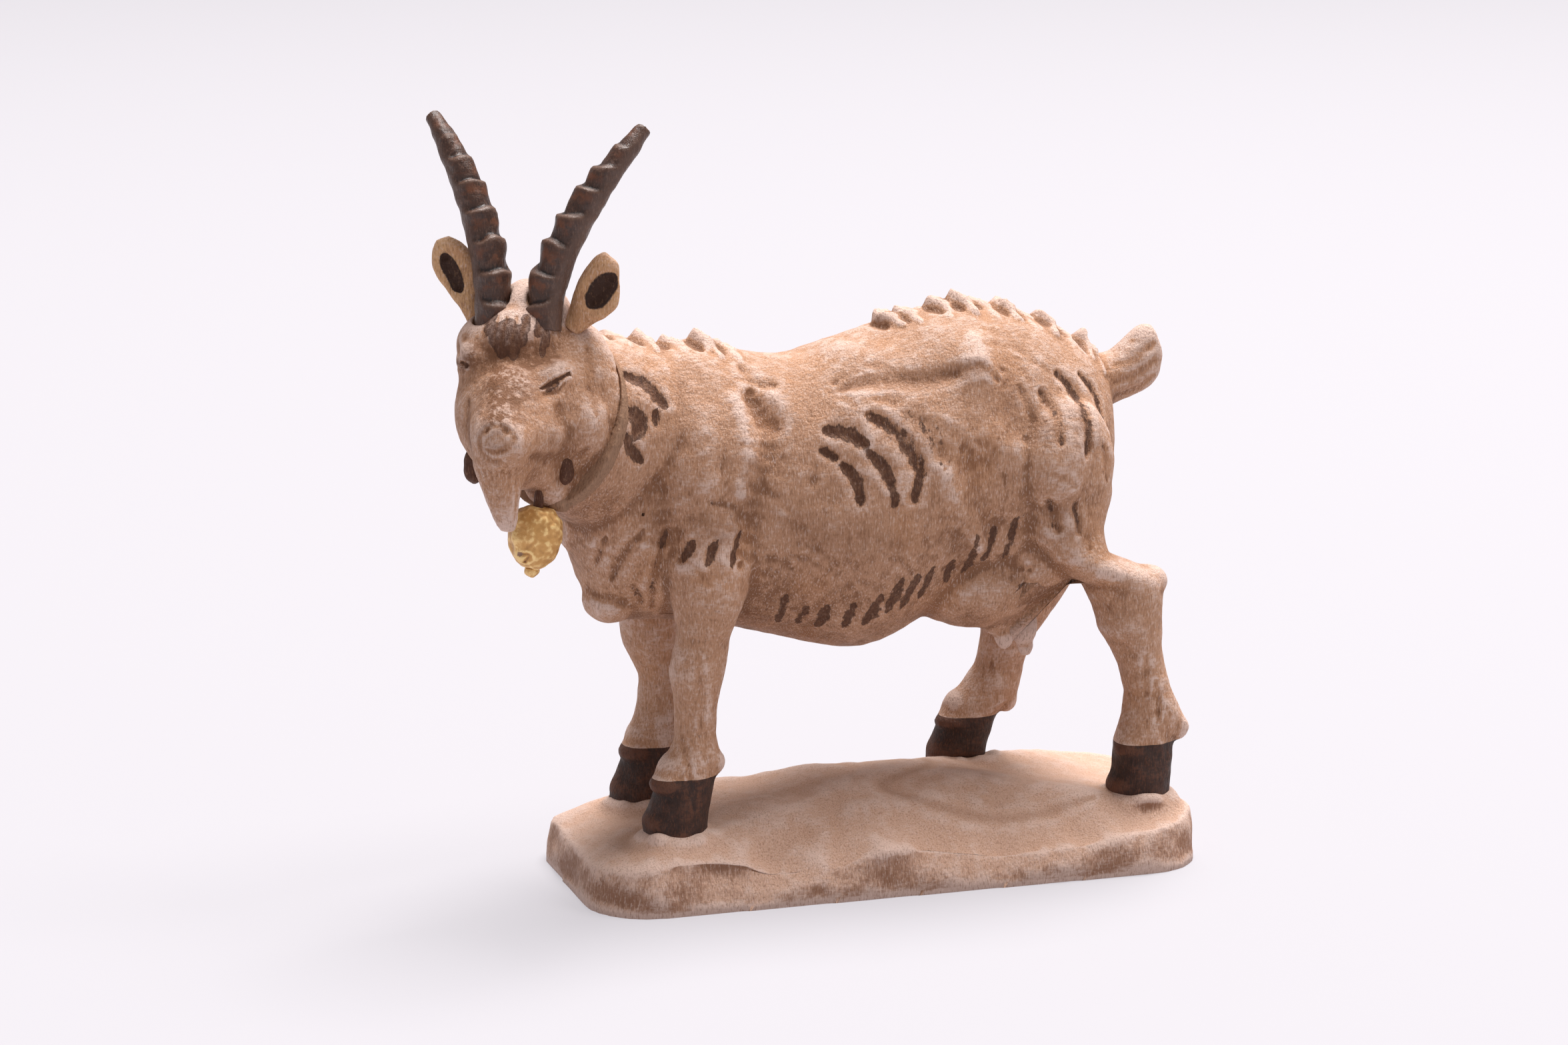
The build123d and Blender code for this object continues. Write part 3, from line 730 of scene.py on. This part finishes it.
def carveHorn(side):
    horn = carveBlock(glue([blank("horn_" + side)], "carved_horn_" + side), horns["voxel"], 4)
    line, share = curveThrough([inHead(*stop) for stop in hornStops[side]], 0.25)
    length = np.concatenate(([0], np.cumsum(np.linalg.norm(np.diff(line, axis=0), axis=1))))
    tool = Chisel(horn)
    nearest = np.array([np.linalg.norm(line - p, axis=1).argmin() for p in tool.points])
    before, after = np.maximum(nearest - 1, 0), np.minimum(nearest + 1, len(line) - 1)
    run = (line[after] - line[before]) / np.linalg.norm(line[after] - line[before], axis=1)[:, None]
    along = length[nearest] + ((tool.points - line[nearest]) * run).sum(1)
    # how far each point faces the front and inner side, where the rings stand proud
    inner = -toLeft if side == "left" else toLeft
    front = ahead * 0.8 + inner * 0.75
    facing = np.clip(tool.normals @ (front / np.linalg.norm(front)) * 1.5 - 0.15, 0, 1)
    facing = facing * facing * (3 - 2 * facing)
    wobble = np.array([noise.noise(Vector(p) / 3.0) for p in tool.points])
    rise = along + wobble * 0.8 + facing * 0.5
    saw = (rise / horns["ridgeGap"] + rise * rise * 0.0012) % 1.0
    # each ring swells slowly up the horn and ends in a ledge
    ridge = np.clip(saw / 0.72, 0, 1) ** 1.3 * np.clip((1.0 - saw) / 0.16, 0, 1)
    fade = np.clip(along / 3.0, 0, 1) * np.clip((length[-1] - along) / 9.0, 0.1, 1)
    tool.shift += horns["ridgeHeight"] * (ridge - 0.35) * facing * fade - horns["thinner"]
    tool.ripple(1.8, 0.16, 4)
    tool.ripple(0.7, 0.04, 6)
    # painted highlight on each ledge, and the outer sides rubbed pale
    ledge = np.exp(-((saw - 0.84) / 0.07) ** 2) * facing
    tool.paint["ridge"] = np.clip(ledge * 0.7 + np.clip(0.55 - facing, 0, 1) * 0.9, 0, 1)
    tool.paint["warm"] = np.exp(-((saw - 0.5) / 0.2) ** 2) * facing
    return markHollows(tool.finish(), 12)


# Ears: each has a dark bowl from near its root to its tip
earEnds = {"left": ((6.6, -6.2, 6.2), (12.2, -6.4, 12.6)), "right": ((-6.2, -6.8, 6.4), (-10.2, -6.8, 15.0))}


def carveEar(side):
    ear = carveBlock(glue([blank("ear_" + side)], "carved_ear_" + side), 0.2, 5)
    sign = 1 if side == "left" else -1
    root, tip = (np.array(end) for end in earEnds[side])
    bowl = [root + (tip - root) * share for share in (0.42, 0.62, 0.84)]
    tool = Chisel(ear)
    if side == "left":
        tool.pull(inHead(12.2, -6.4, 13.2), 3.2, toLeft * -1.2 + upward * 1.0)
        tool.pull(inHead(13.0, -6.4, 10.4), 3.0, toLeft * -0.3 - upward * 0.5)
    else:
        tool.pull(inHead(-9.2, -6.8, 8.4), 2.6, toLeft * 0.8)
    writePoints(ear, tool.points)
    spots = [rayHit(ear, inHead(spot[0] + 0.3 * sign, 20, spot[2] - 0.3), -ahead) for spot in bowl]
    spots = hits(spots)
    tool.cut(spots, 2.0, 0.75, lip=0.2, taper=0.5)
    tool.brush("stroke", spots, 1.6 if side == "left" else 1.2, 1.3, taper=0.4)
    tool.ripple(1.5, 0.14, 2)
    return markHollows(tool.finish(), 12)


print("carving horns, ears, bell and collar")
for side in ("left", "right"):
    parts["horn_" + side] = carveHorn(side)
    parts["ear_" + side] = carveEar(side)
    wattle = carveBlock(glue([blank("wattle_" + side)], "carved_wattle_" + side), 0.14, 3)
    tool = Chisel(wattle)
    tool.ripple(1.0, 0.12, 5)
    parts["wattle_" + side] = markHollows(tool.finish(), 10)


# Bell: one crease down its front with a painted highlight along it, a notch and the clapper's knob
def carveBell():
    bell = carveBlock(glue([blank("bell")], "carved_bell"), 0.16, 4)
    low, high = readPoints(bell).min(0), readPoints(bell).max(0)
    middle = (low + high) / 2
    tool = Chisel(bell)
    side = (middle - brow) @ toLeft
    spots = [rayHit(bell, inHead(side + s, 30, z - brow[2]), -ahead)
             for s, z in ((-1.6, high[2] - 1.0), (-1.7, middle[2]), (-1.3, low[2] + 1.6))]
    crease = hits(spots)
    tool.swell(crease, 0.9, 0.28)
    # painted highlight along the crease
    tool.brush("creaseHighlight", crease, 0.7, 0.9)
    notch = [rayHit(bell, inHead(side + s, 30, z - brow[2]), -ahead)
             for s, z in ((-1.2, low[2] + 2.5), (-0.2, low[2] + 2.1), (-0.9, low[2] + 1.2))]
    notch = hits(notch)
    tool.cut(notch, 0.5, 0.3, lip=0.2)
    tool.brush("worn", notch[:1], 0.5, 0.8)
    tool.ripple(1.3, 0.22, 8)
    tool.ripple(0.6, 0.07, 3)
    tool.paint.setdefault("worn", np.zeros(len(tool.points)))
    return markHollows(tool.finish(), 12)


parts["bell"] = carveBell()
knob = carveBlock(glue([blank("bell_clapper")], "carved_bell_clapper"), 0.12, 3)
tool = Chisel(knob)
tool.ripple(0.8, 0.12, 4)
parts["bell_clapper"] = markHollows(tool.finish(), 10)


# Collar: a carved strap whose pointed end lies over the throat beside the bell
def carveCollar():
    strap = blank("collar")
    end = inHead(5.6, -1.3, -16.4)
    tip = lump(end, 1.25, (1.35, 0.5, 0.85), 25)
    collar = carveBlock(glue([strap, tip], "carved_collar"), 0.17, 3)
    tool = Chisel(collar)
    tool.ripple(1.4, 0.1, 7)
    return markHollows(tool.finish(), 12)


parts["collar"] = carveCollar()


# Plinth: rolling ground with scooped sides
plinth = {
    "voxel": 0.5,
    "pads": {"front_left": 0.46, "front_right": 0.42, "rear_left": 0.52, "rear_right": 0.22},
    "rim": (         # place along the plinth, how far its edge drops there
        (-44, 1.8), (-37.6, 1.4), (-32, 0), (-27, 0), (-23, 0.6), (-20, 1.7), (-15, 1.9), (-10, 1.6),
        (-5, 0.1), (-1, 0), (5, 0.9), (12, 1.8), (18, 1.5), (23, 1.3), (29, 0.3), (34, -0.2), (42, 0.2)),
}


def carvePlinth():
    blocks = [blank("plinth"), blank("foot_dowels")]
    for name in legNames:
        low, high, middle = footOf(name)
        place = (middle[0] - 0.3, middle[1], low[2])
        blocks.append(lump(place, 5.5, (1.05, 1.0, plinth["pads"][name])))
    ground = carveBlock(glue(blocks, "carved_plinth"), plinth["voxel"], 6)
    tool = Chisel(ground)
    # long scoops along the near and far edges leave a wavy crease between side and top
    for side in (-1, 1):
        for stops, width, depth in (
                ([(-40, 17, 8.0), (-33, 17.5, 7.0)], 3.6, 0.9),
                ([(-26, 17, 6.0), (-17, 16.5, 6.6)], 4.2, 1.5),
                ([(-13, 17, 7.0), (-8, 17, 7.4)], 3.0, 0.7), ([(2, 17, 7.0), (12, 17, 6.6)], 4.4, 1.2),
                ([(17, 17.5, 6.8), (24, 17.5, 7.0)], 3.6, 0.8), ([(30, 17, 7.6), (38, 15, 7.0)], 3.6, 0.7)):
            stops = [(x, y * side * 1.04, z) for x, y, z in stops]
            tool.cut(stops, width * 1.3, depth * 0.9, lip=0.0, taper=0.3)
    for stops, width, height in (
            ([(-6, -10, 10), (4, -9, 11), (12, -4, 12)], 4.0, 0.7),
            ([(-20, -14, 8), (-14, -12, 8.6)], 3.0, -0.7),
            ([(14, -10, 9.5), (20, -4, 11), (16, 4, 11.5)], 3.2, -0.55),
            ([(-36, -3, 9), (-30, 3, 10)], 4.0, 0.5),
            ([(24, -12, 8), (36, -8, 8)], 3.5, 0.4), ([(-12, 8, 11), (-2, 6, 12)], 4.5, 0.5)):
        tool.swell(stops, width, height)
    for name in legNames:
        low, high, middle = footOf(name)
        pad = rayHit(ground, (middle[0] - 0.4, middle[1], 40), (0, 0, -1))
        tool.brush("pale", [pad], 5.2, 0.8, taper=0.0)
        for count in range(7):
            angle = chance.uniform(0, 2 * math.pi)
            x, y = middle[0] + 4.9 * math.cos(angle), middle[1] + 4.6 * math.sin(angle)
            spot = rayHit(ground, (x, y, 40), (0, 0, -1))
            if spot is not None:
                tool.swell([spot], chance.uniform(0.9, 1.5), chance.uniform(0.2, 0.5))
    swirl = [rayHit(ground, (x, y, 40), (0, 0, -1)) for x, y in
             ((2, 10), (9, 4), (7, -1), (0, -5), (4, -10), (15, -13), (27, -12))]
    tool.cut(swirl, 1.6, 0.16, lip=0.3)
    tool.brush("stain", swirl, 0.9, 0.35)
    tool.ripple(7.0, 0.5, 2)
    tool.ripple(2.2, 0.12, 4)
    tool.cut([(-43.5, -15, 8.4), (-44.4, 0, 9.4), (-43.5, 15, 8.4)], 5.0, 1.3, lip=0.0, taper=0.2)
    # the rim rises and dips in long scallops
    drop = np.interp(tool.points[:, 0], *zip(*plinth["rim"]))
    edge = np.clip((np.abs(tool.points[:, 1]) - 9.0) / 8.0, 0, 1) ** 1.5
    tool.points[:, 2] -= drop * edge * np.clip((tool.points[:, 2] - 2.0) / 4.0, 0, 1)
    # the underside stays flat
    rest = np.clip((tool.points[:, 2] - 0.25) / 1.2, 0, 1)
    tool.shift *= rest
    ground = tool.finish()
    points = readPoints(ground)
    points[:, 2] = np.where(points[:, 2] < 0.35, 0.0, points[:, 2])
    writePoints(ground, points)
    return markHollows(ground, 24)


print("carving the plinth")
parts["plinth"] = carvePlinth()


# Materials
def toLinear(colour):
    shares = [c / 255 for c in colour]
    return tuple(((c + 0.055) / 1.055) ** 2.4 if c > 0.04045 else c / 12.92 for c in shares) + (1.0,)


class Maker:
    # adds nodes to one tree and joins them
    def __init__(self, tree):
        self.tree = tree

    def put(self, kind, sockets=None, **settings):
        node = self.tree.nodes.new(kind)
        for name, value in settings.items():
            setattr(node, name, value)
        for name, value in (sockets or {}).items():
            self.feed(node.inputs[name], value)
        return node

    def feed(self, socket, value):
        if isinstance(value, bpy.types.NodeSocket):
            self.tree.links.new(value, socket)
        elif isinstance(value, bpy.types.Node):
            self.tree.links.new(value.outputs[0], socket)
        else:
            socket.default_value = value

    def sum(self, operation, a, b):
        return self.put("ShaderNodeMath", {0: a, 1: b}, operation=operation).outputs[0]

    def plus(self, a, b):
        return self.sum("ADD", a, b)

    def minus(self, a, b):
        return self.sum("SUBTRACT", a, b)

    def times(self, a, b):
        return self.sum("MULTIPLY", a, b)

    def sway(self, pattern, amount):
        # the pattern as a push either way from nothing
        return self.times(self.minus(pattern, 0.5), amount)

    def ramp(self, value, low, high, outLow=0.0, outHigh=1.0):
        node = self.put("ShaderNodeMapRange", {0: value, 1: low, 2: high, 3: outLow, 4: outHigh})
        node.interpolation_type = "SMOOTHSTEP"
        return node.outputs[0]

    def blend(self, share, a, b, kind="MIX"):
        node = self.put("ShaderNodeMix", data_type="RGBA", blend_type=kind)
        self.feed(node.inputs[0], share)
        self.feed(node.inputs[6], a)
        self.feed(node.inputs[7], b)
        return node.outputs[2]

    def speckle(self, place, scale, detail=4.0, rough=0.6, stretch=(1, 1, 1), warp=0.0):
        where = self.put("ShaderNodeMapping", {0: place, 3: stretch})
        node = self.put("ShaderNodeTexNoise", {0: where.outputs[0], 2: scale, 3: detail, 4: rough, 8: warp})
        return node.outputs[0]

    def mask(self, name):
        return self.put("ShaderNodeAttribute", attribute_name=name).outputs["Fac"]


# the pale tones serve rubbed wood and also painted light on upward faces; the gold's palest tone is painted
# highlight
stains = {
    "pale": (228, 202, 190), "body": (184, 139, 109), "deep": (128, 87, 60), "soil": (208, 169, 146),
    "ground": (140, 98, 73), "stroke": (84, 50, 33), "strokeRim": (58, 34, 22), "horn": (68, 43, 32),
    "hornDeep": (34, 23, 21), "hornRubAndHighlight": (124, 94, 78), "hornWarm": (116, 66, 38),
    "warm": (190, 139, 102), "poolWarm": (156, 105, 70), "hoof": (54, 29, 18), "hoofDeep": (26, 16, 12),
    "hoofRub": (112, 66, 42), "ear": (206, 162, 118), "collar": (150, 116, 92),
    "collarDeep": (98, 70, 51), "gold": (206, 156, 92), "goldDeep": (134, 88, 48),
    "goldHighlight": (244, 208, 144),
}


def tone(name):
    return toLinear(stains[name])


def newGroup(name, sockets, results):
    group = bpy.data.node_groups.new(name, "ShaderNodeTree")
    for label, kind in sockets:
        group.interface.new_socket(label, in_out="INPUT", socket_type=kind)
    for label, kind in results:
        group.interface.new_socket(label, in_out="OUTPUT", socket_type=kind)
    maker = Maker(group)
    return group, maker, maker.put("NodeGroupInput"), maker.put("NodeGroupOutput")


def buildGrain():
    # fibres run up the wood; stain sits in them, in the cuts and in cloudy patches. Sides and undersides get
    # painted shade and tops painted light, by which way they face.
    group, m, given, result = newGroup(
        "woodGrain",
        [("Pale", "NodeSocketColor"), ("Body", "NodeSocketColor"), ("Deep", "NodeSocketColor"),
         ("Pooling", "NodeSocketFloat"), ("RubbingAndTopLight", "NodeSocketFloat"), ("SideShadeAndStain", "NodeSocketFloat"),
         ("Warmth", "NodeSocketFloat"), ("Clouds", "NodeSocketFloat")],
        [("Color", "NodeSocketColor"), ("Height", "NodeSocketFloat"), ("Roughness", "NodeSocketFloat")])
    place = m.put("ShaderNodeTexCoord").outputs["Object"]
    fibre = m.speckle(place, 3600, 3, 0.6, (1, 1, 0.16))
    tick = m.speckle(place, 5200, 2, 0.5, (1, 1, 0.28))
    hair = m.speckle(place, 2600, 4, 0.7, (0.35, 1, 1), 0.4)
    cloud = m.speckle(place, 700, 7, 0.66)
    patch = m.speckle(place, 95, 3, 0.55)
    hollow = m.plus(m.mask("hollow"), m.times(m.mask("fineHollow"), 0.7))
    stainAndShade = m.plus(m.times(hollow, given.outputs["Pooling"]), m.sway(cloud, 1.3))
    # painted shade: the more a face turns sideways or down, the darker it is made, and tops are made lighter;
    # on the plinth this also darkens the stain of its sides
    up = m.put("ShaderNodeSeparateXYZ", {0: m.put("ShaderNodeNewGeometry").outputs["Normal"]}).outputs[2]
    sideShadeAndStain = m.times(m.minus(0.45, up), given.outputs["SideShadeAndStain"])
    stainAndShade = m.plus(m.plus(stainAndShade, sideShadeAndStain), m.sway(patch, given.outputs["Clouds"]))
    deepShare = m.ramp(m.plus(stainAndShade, m.sway(fibre, 1.7)), 0.0, 1.0)
    drift = m.ramp(m.speckle(place, 130, 3, 0.55, (1, 1, 0.7)), 0.47, 0.68)
    warm = m.times(drift, given.outputs["Warmth"])
    colour = m.blend(warm, given.outputs["Body"], tone("warm"))
    pool = m.blend(warm, given.outputs["Deep"], tone("poolWarm"))
    colour = m.blend(m.times(deepShare, 0.9), colour, pool)
    raised = m.minus(m.times(hollow, -1.0), m.sway(hair, 2.2))
    # painted light: upward faces are blended towards the pale colour, on top of the rubbed ridges
    raised = m.plus(raised, m.times(up, 0.55))
    rubAndTopLightShare = m.times(m.ramp(raised, 0.2, 1.4), given.outputs["RubbingAndTopLight"])
    colour = m.blend(rubAndTopLightShare, colour, given.outputs["Pale"])
    dark = m.ramp(tick, 0.54, 0.68)
    colour = m.blend(m.times(dark, 0.45), colour, given.outputs["Deep"])
    light = m.ramp(tick, 0.45, 0.33)
    colour = m.blend(m.times(light, 0.35), colour, given.outputs["Pale"])
    height = m.plus(m.times(fibre, 0.5), m.times(hair, 0.45))
    height = m.plus(height, m.times(cloud, 0.5))
    m.feed(result.inputs["Color"], colour)
    m.feed(result.inputs["Height"], height)
    m.feed(result.inputs["Roughness"], m.ramp(cloud, 0.3, 0.7, 0.52, 0.72))
    return group


def buildPaint():
    # thin paint with a ragged outline: it pools darker along its rim
    group, m, given, result = newGroup(
        "thinPaint", [("Mask", "NodeSocketFloat"), ("Ragged", "NodeSocketFloat")],
        [("Cover", "NodeSocketFloat"), ("Rim", "NodeSocketFloat")])
    place = m.put("ShaderNodeTexCoord").outputs["Object"]
    torn = m.speckle(place, 1000, 5, 0.68, (1, 1, 0.6))
    level = m.plus(given.outputs["Mask"], m.sway(torn, given.outputs["Ragged"]))
    m.feed(result.inputs["Cover"], m.ramp(level, 0.28, 0.62))
    m.feed(result.inputs["Rim"], m.times(m.ramp(level, 0.34, 0.50), m.ramp(level, 0.85, 0.50)))
    return group


grainGroup, paintGroup = buildGrain(), buildPaint()


def newMaterial(name):
    material = bpy.data.materials.new(name)
    material.use_nodes = True
    m = Maker(material.node_tree)
    shader = material.node_tree.nodes["Principled BSDF"]
    return material, m, shader


def wooden(name, pale, main, deep, pooling=1.0, rubbingAndTopLight=0.7, bump=0.7, sheen=0.3, sideShadeAndStain=0.45, warmth=0.6,
           clouds=0.9):
    material, m, shader = newMaterial(name)
    grain = m.put("ShaderNodeGroup", node_tree=grainGroup)
    for label, value in (("Pale", tone(pale)), ("Body", tone(main)),
                         ("Deep", tone(deep)), ("Pooling", pooling), ("RubbingAndTopLight", rubbingAndTopLight),
                         ("SideShadeAndStain", sideShadeAndStain), ("Warmth", warmth), ("Clouds", clouds)):
        grain.inputs[label].default_value = value
    relief = m.put("ShaderNodeBump",
                   {"Strength": bump, "Distance": 0.4 * mm, "Height": grain.outputs["Height"]})
    m.feed(shader.inputs["Base Color"], grain.outputs["Color"])
    m.feed(shader.inputs["Roughness"], grain.outputs["Roughness"])
    m.feed(shader.inputs["Normal"], relief.outputs[0])
    shader.inputs["Specular IOR Level"].default_value = sheen
    return material, m, shader, grain


def addStrokes(m, shader, base, attribute, colour, rim, ragged=1.9, strength=0.9):
    paint = m.put("ShaderNodeGroup", {"Mask": m.mask(attribute), "Ragged": ragged}, node_tree=paintGroup)
    place = m.put("ShaderNodeTexCoord").outputs["Object"]
    thin = m.ramp(m.speckle(place, 2800, 4, 0.7, (1, 1, 0.5)), 0.35, 0.6, 0.62, 1.0)
    share = m.times(m.times(paint.outputs["Cover"], strength), thin)
    painted = m.blend(share, base, tone(colour))
    painted = m.blend(m.times(paint.outputs["Rim"], 0.5), painted, tone(rim))
    m.feed(shader.inputs["Base Color"], painted)
    return painted


coatMaterial, m, shader, grain = wooden(
    "stainedCoat", "pale", "body", "deep", pooling=0.8, bump=1.0, sideShadeAndStain=0.55, warmth=0.5)
place = m.put("ShaderNodeTexCoord").outputs["Object"]
uneven = m.ramp(m.speckle(place, 900, 6, 0.7), 0.36, 0.6, 0.2, 1.0)
stained = m.blend(m.times(m.mask("stain"), uneven), grain.outputs["Color"], tone("deep"))
addStrokes(m, shader, stained, "stroke", "stroke", "strokeRim")
# the plinth's strong side term turns its sides to the deep ground colour: darker stain and painted shade
# together
plinthMaterial, m, shader, grain = wooden(
    "stainedGround", "pale", "soil", "ground",
    pooling=0.2, rubbingAndTopLight=0.6, bump=1.0, sideShadeAndStain=2.4, warmth=0.15, clouds=0.3)
padded = m.blend(m.times(m.mask("stain"), 0.7), grain.outputs["Color"], tone("deep"))
padded = m.blend(m.times(m.mask("pale"), 0.35), padded, tone("pale"))
m.feed(shader.inputs["Base Color"], padded)
earMaterial, m, shader, grain = wooden("warmEar", "pale", "ear", "deep", pooling=0.7, rubbingAndTopLight=0.3)
addStrokes(m, shader, grain.outputs["Color"], "stroke", "strokeRim", "hornDeep", 0.6, 1.4)
plain = {"sideShadeAndStain": 0.0, "warmth": 0.0}
wattleMaterial = wooden("brownWattle", "collar", "stroke", "strokeRim", pooling=0.8, rubbingAndTopLight=0.25, **plain)[0]
collarMaterial = wooden("brownStrap", "body", "collar", "collarDeep", pooling=0.9, rubbingAndTopLight=0.3, **plain)[0]
# the pale colour of the hooves is partly rub and partly painted light on their tops
hoofMaterial = wooden(
    "darkHoof", "hoofRub", "hoof", "hoofDeep", pooling=0.9, rubbingAndTopLight=0.6, bump=1.0, sheen=0.45, **plain)[0]
hornMaterial, m, shader, grain = wooden(
    "darkHorn", "hornRubAndHighlight", "horn", "hornDeep", pooling=1.0, rubbingAndTopLight=0.3, bump=0.5, sheen=0.5, **plain)
place = m.put("ShaderNodeTexCoord").outputs["Object"]
cloud = m.ramp(m.speckle(place, 700, 4, 0.6), 0.42, 0.62)
warmed = m.blend(m.times(m.times(m.mask("warm"), cloud), 0.8), grain.outputs["Color"],
                 tone("hornWarm"))
# the ridge mask blends in painted ledge highlights and the rubbed outer sides
rubbedAndHighlit = m.blend(m.times(m.mask("ridge"), 0.5), warmed, tone("hornRubAndHighlight"))
m.feed(shader.inputs["Base Color"], rubbedAndHighlit)
m.feed(shader.inputs["Roughness"], m.ramp(cloud, 0.0, 1.0, 0.34, 0.5))


def goldPaint():
    material, m, shader = newMaterial("goldPaint")
    place = m.put("ShaderNodeTexCoord").outputs["Object"]
    fleck = m.speckle(place, 2600, 5, 0.7)
    cloud = m.speckle(place, 500, 4, 0.6)
    hollow = m.plus(m.mask("hollow"), m.times(m.mask("fineHollow"), 0.8))
    deep = m.ramp(m.plus(hollow, m.sway(cloud, 1.6)), -0.1, 0.9)
    colour = m.blend(deep, tone("gold"), tone("goldDeep"))
    # painted glints: pale flecks away from the hollows, and a painted highlight along the crease
    colour = m.blend(m.ramp(m.minus(fleck, hollow), 0.55, 0.95), colour, tone("goldHighlight"))
    colour = m.blend(m.times(m.mask("creaseHighlight"), m.ramp(fleck, 0.4, 0.55)), colour, tone("goldHighlight"))
    worn = m.ramp(m.plus(m.mask("worn"), m.sway(fleck, 0.8)), 0.5, 0.7)
    colour = m.blend(worn, colour, tone("collar"))
    m.feed(shader.inputs["Base Color"], colour)
    m.feed(shader.inputs["Metallic"], m.ramp(worn, 0.0, 1.0, 0.35, 0.0))
    m.feed(shader.inputs["Roughness"], m.ramp(fleck, 0.3, 0.7, 0.34, 0.58))
    relief = m.put("ShaderNodeBump", {"Strength": 0.6, "Distance": 0.12 * mm, "Height": fleck})
    m.feed(shader.inputs["Normal"], relief.outputs[0])
    return material


goldMaterial = goldPaint()
bareMaterial = wooden("bareWood", "pale", "body", "deep", pooling=0.4, rubbingAndTopLight=0.5)[0]
finishes = {node: (coatMaterial, "stained_wood") for node in ("torso", "neck", "head", "beard", "tail")}
finishes |= {"plinth": (plinthMaterial, "stained_wood"), "collar": (collarMaterial, "collar_stain"),
             "bell": (goldMaterial, "gold_paint"), "bell_clapper": (goldMaterial, "gold_paint")}
for name in legNames:
    finishes["leg_" + name] = (coatMaterial, "stained_wood")
    finishes["hoof_" + name] = (hoofMaterial, "hoof_paint")
for side in ("left", "right"):
    finishes["horn_" + side] = (hornMaterial, "horn_paint")
    finishes["ear_" + side] = (earMaterial, "ear_stain")
    finishes["wattle_" + side] = (wattleMaterial, "wattle_paint")
for node, piece in parts.items():
    material, slotName = finishes[node]
    piece.data.materials.clear()
    piece.data.materials.append(material)
    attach(piece, "root")
    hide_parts(node)
# the bell pin gets the dark wattle finish as painted shade in the throat above the bell; the dowels are bare
# wood
for node in ("bell_pin", "leg_dowels", "foot_dowels", "tail_dowel", "neck_dowel"):
    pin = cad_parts[node]
    pick(pin)
    if not pin.material_slots:
        bpy.ops.object.material_slot_add()
    pin.material_slots[0].material = wattleMaterial if node == "bell_pin" else bareMaterial
print("materials done")

# Studio: pale floor, soft light from above and the right, and the camera
studio = {
    "azimuth": -19.3, "elevation": 12.3, "distance": 550.0, "lens": 94.3,
    "aim": (0.3, 13.0, -7.2),          # from the middle of the object's box
    "floorSize": 8.0, "floorGlow": (238, 234, 240), "glowStrength": 0.57, "floorColour": (126, 124, 127),
    "worldColour": (244, 238, 238), "worldStrength": 0.42,
    "lamps": {      # place, size, power, colour; metres and watts
        "key": ((1.15, -0.5, 1.85), 0.8, 15.0, (1.0, 0.985, 0.97)),
        "top": ((0.45, 0.40, 2.2), 1.3, 90.0, (1.0, 0.985, 0.98)),
    },
}
middle = (np.array(cadBox[0]) + np.array(cadBox[1])) / 2 / mm
azimuth, elevation = math.radians(studio["azimuth"]), math.radians(studio["elevation"])
back = np.array((math.sin(azimuth) * math.cos(elevation), -math.cos(azimuth) * math.cos(elevation),
                 math.sin(elevation)))
aim = middle + np.array(studio["aim"])
cameraData = bpy.data.cameras.new("camera")
cameraData.lens = studio["lens"]
cameraData.clip_start = 0.01
camera = bpy.data.objects.new("camera", cameraData)
bpy.context.scene.collection.objects.link(camera)
camera.location = Vector(aim + back * studio["distance"]) * mm
camera.rotation_mode = "QUATERNION"
camera.rotation_quaternion = Vector(-back).to_track_quat("-Z", "Y")
bpy.context.scene.camera = camera

deselectAll()
bpy.ops.mesh.primitive_plane_add(size=studio["floorSize"], location=(0, 0, -0.02 * mm))
floor = bpy.context.object
floor.name = "studio_floor"
floorMaterial, m, shader = newMaterial("studioFloor")
shader.inputs["Emission Color"].default_value = toLinear(studio["floorGlow"])
shader.inputs["Emission Strength"].default_value = studio["glowStrength"]
shader.inputs["Base Color"].default_value = toLinear(studio["floorColour"])
shader.inputs["Roughness"].default_value = 0.9
shader.inputs["Specular IOR Level"].default_value = 0.1
floor.data.materials.append(floorMaterial)


def softbox(name, place, size, power, colour):
    light = bpy.data.lights.new(name, "AREA")
    light.shape = "DISK"
    light.size = size
    light.energy = power
    light.color = colour
    lamp = bpy.data.objects.new(name, light)
    bpy.context.scene.collection.objects.link(lamp)
    lamp.location = place
    lamp.rotation_mode = "QUATERNION"
    lamp.rotation_quaternion = (Vector((0, 0, 0.04)) - Vector(place)).to_track_quat("-Z", "Y")


for name, lamp in studio["lamps"].items():
    softbox(name, *lamp)
world = bpy.data.worlds.new("studio")
world.use_nodes = True
world.node_tree.nodes["Background"].inputs[0].default_value = toLinear(studio["worldColour"])
world.node_tree.nodes["Background"].inputs[1].default_value = studio["worldStrength"]
bpy.context.scene.world = world
bpy.context.scene.view_settings.view_transform = "Standard"

print("studio done")
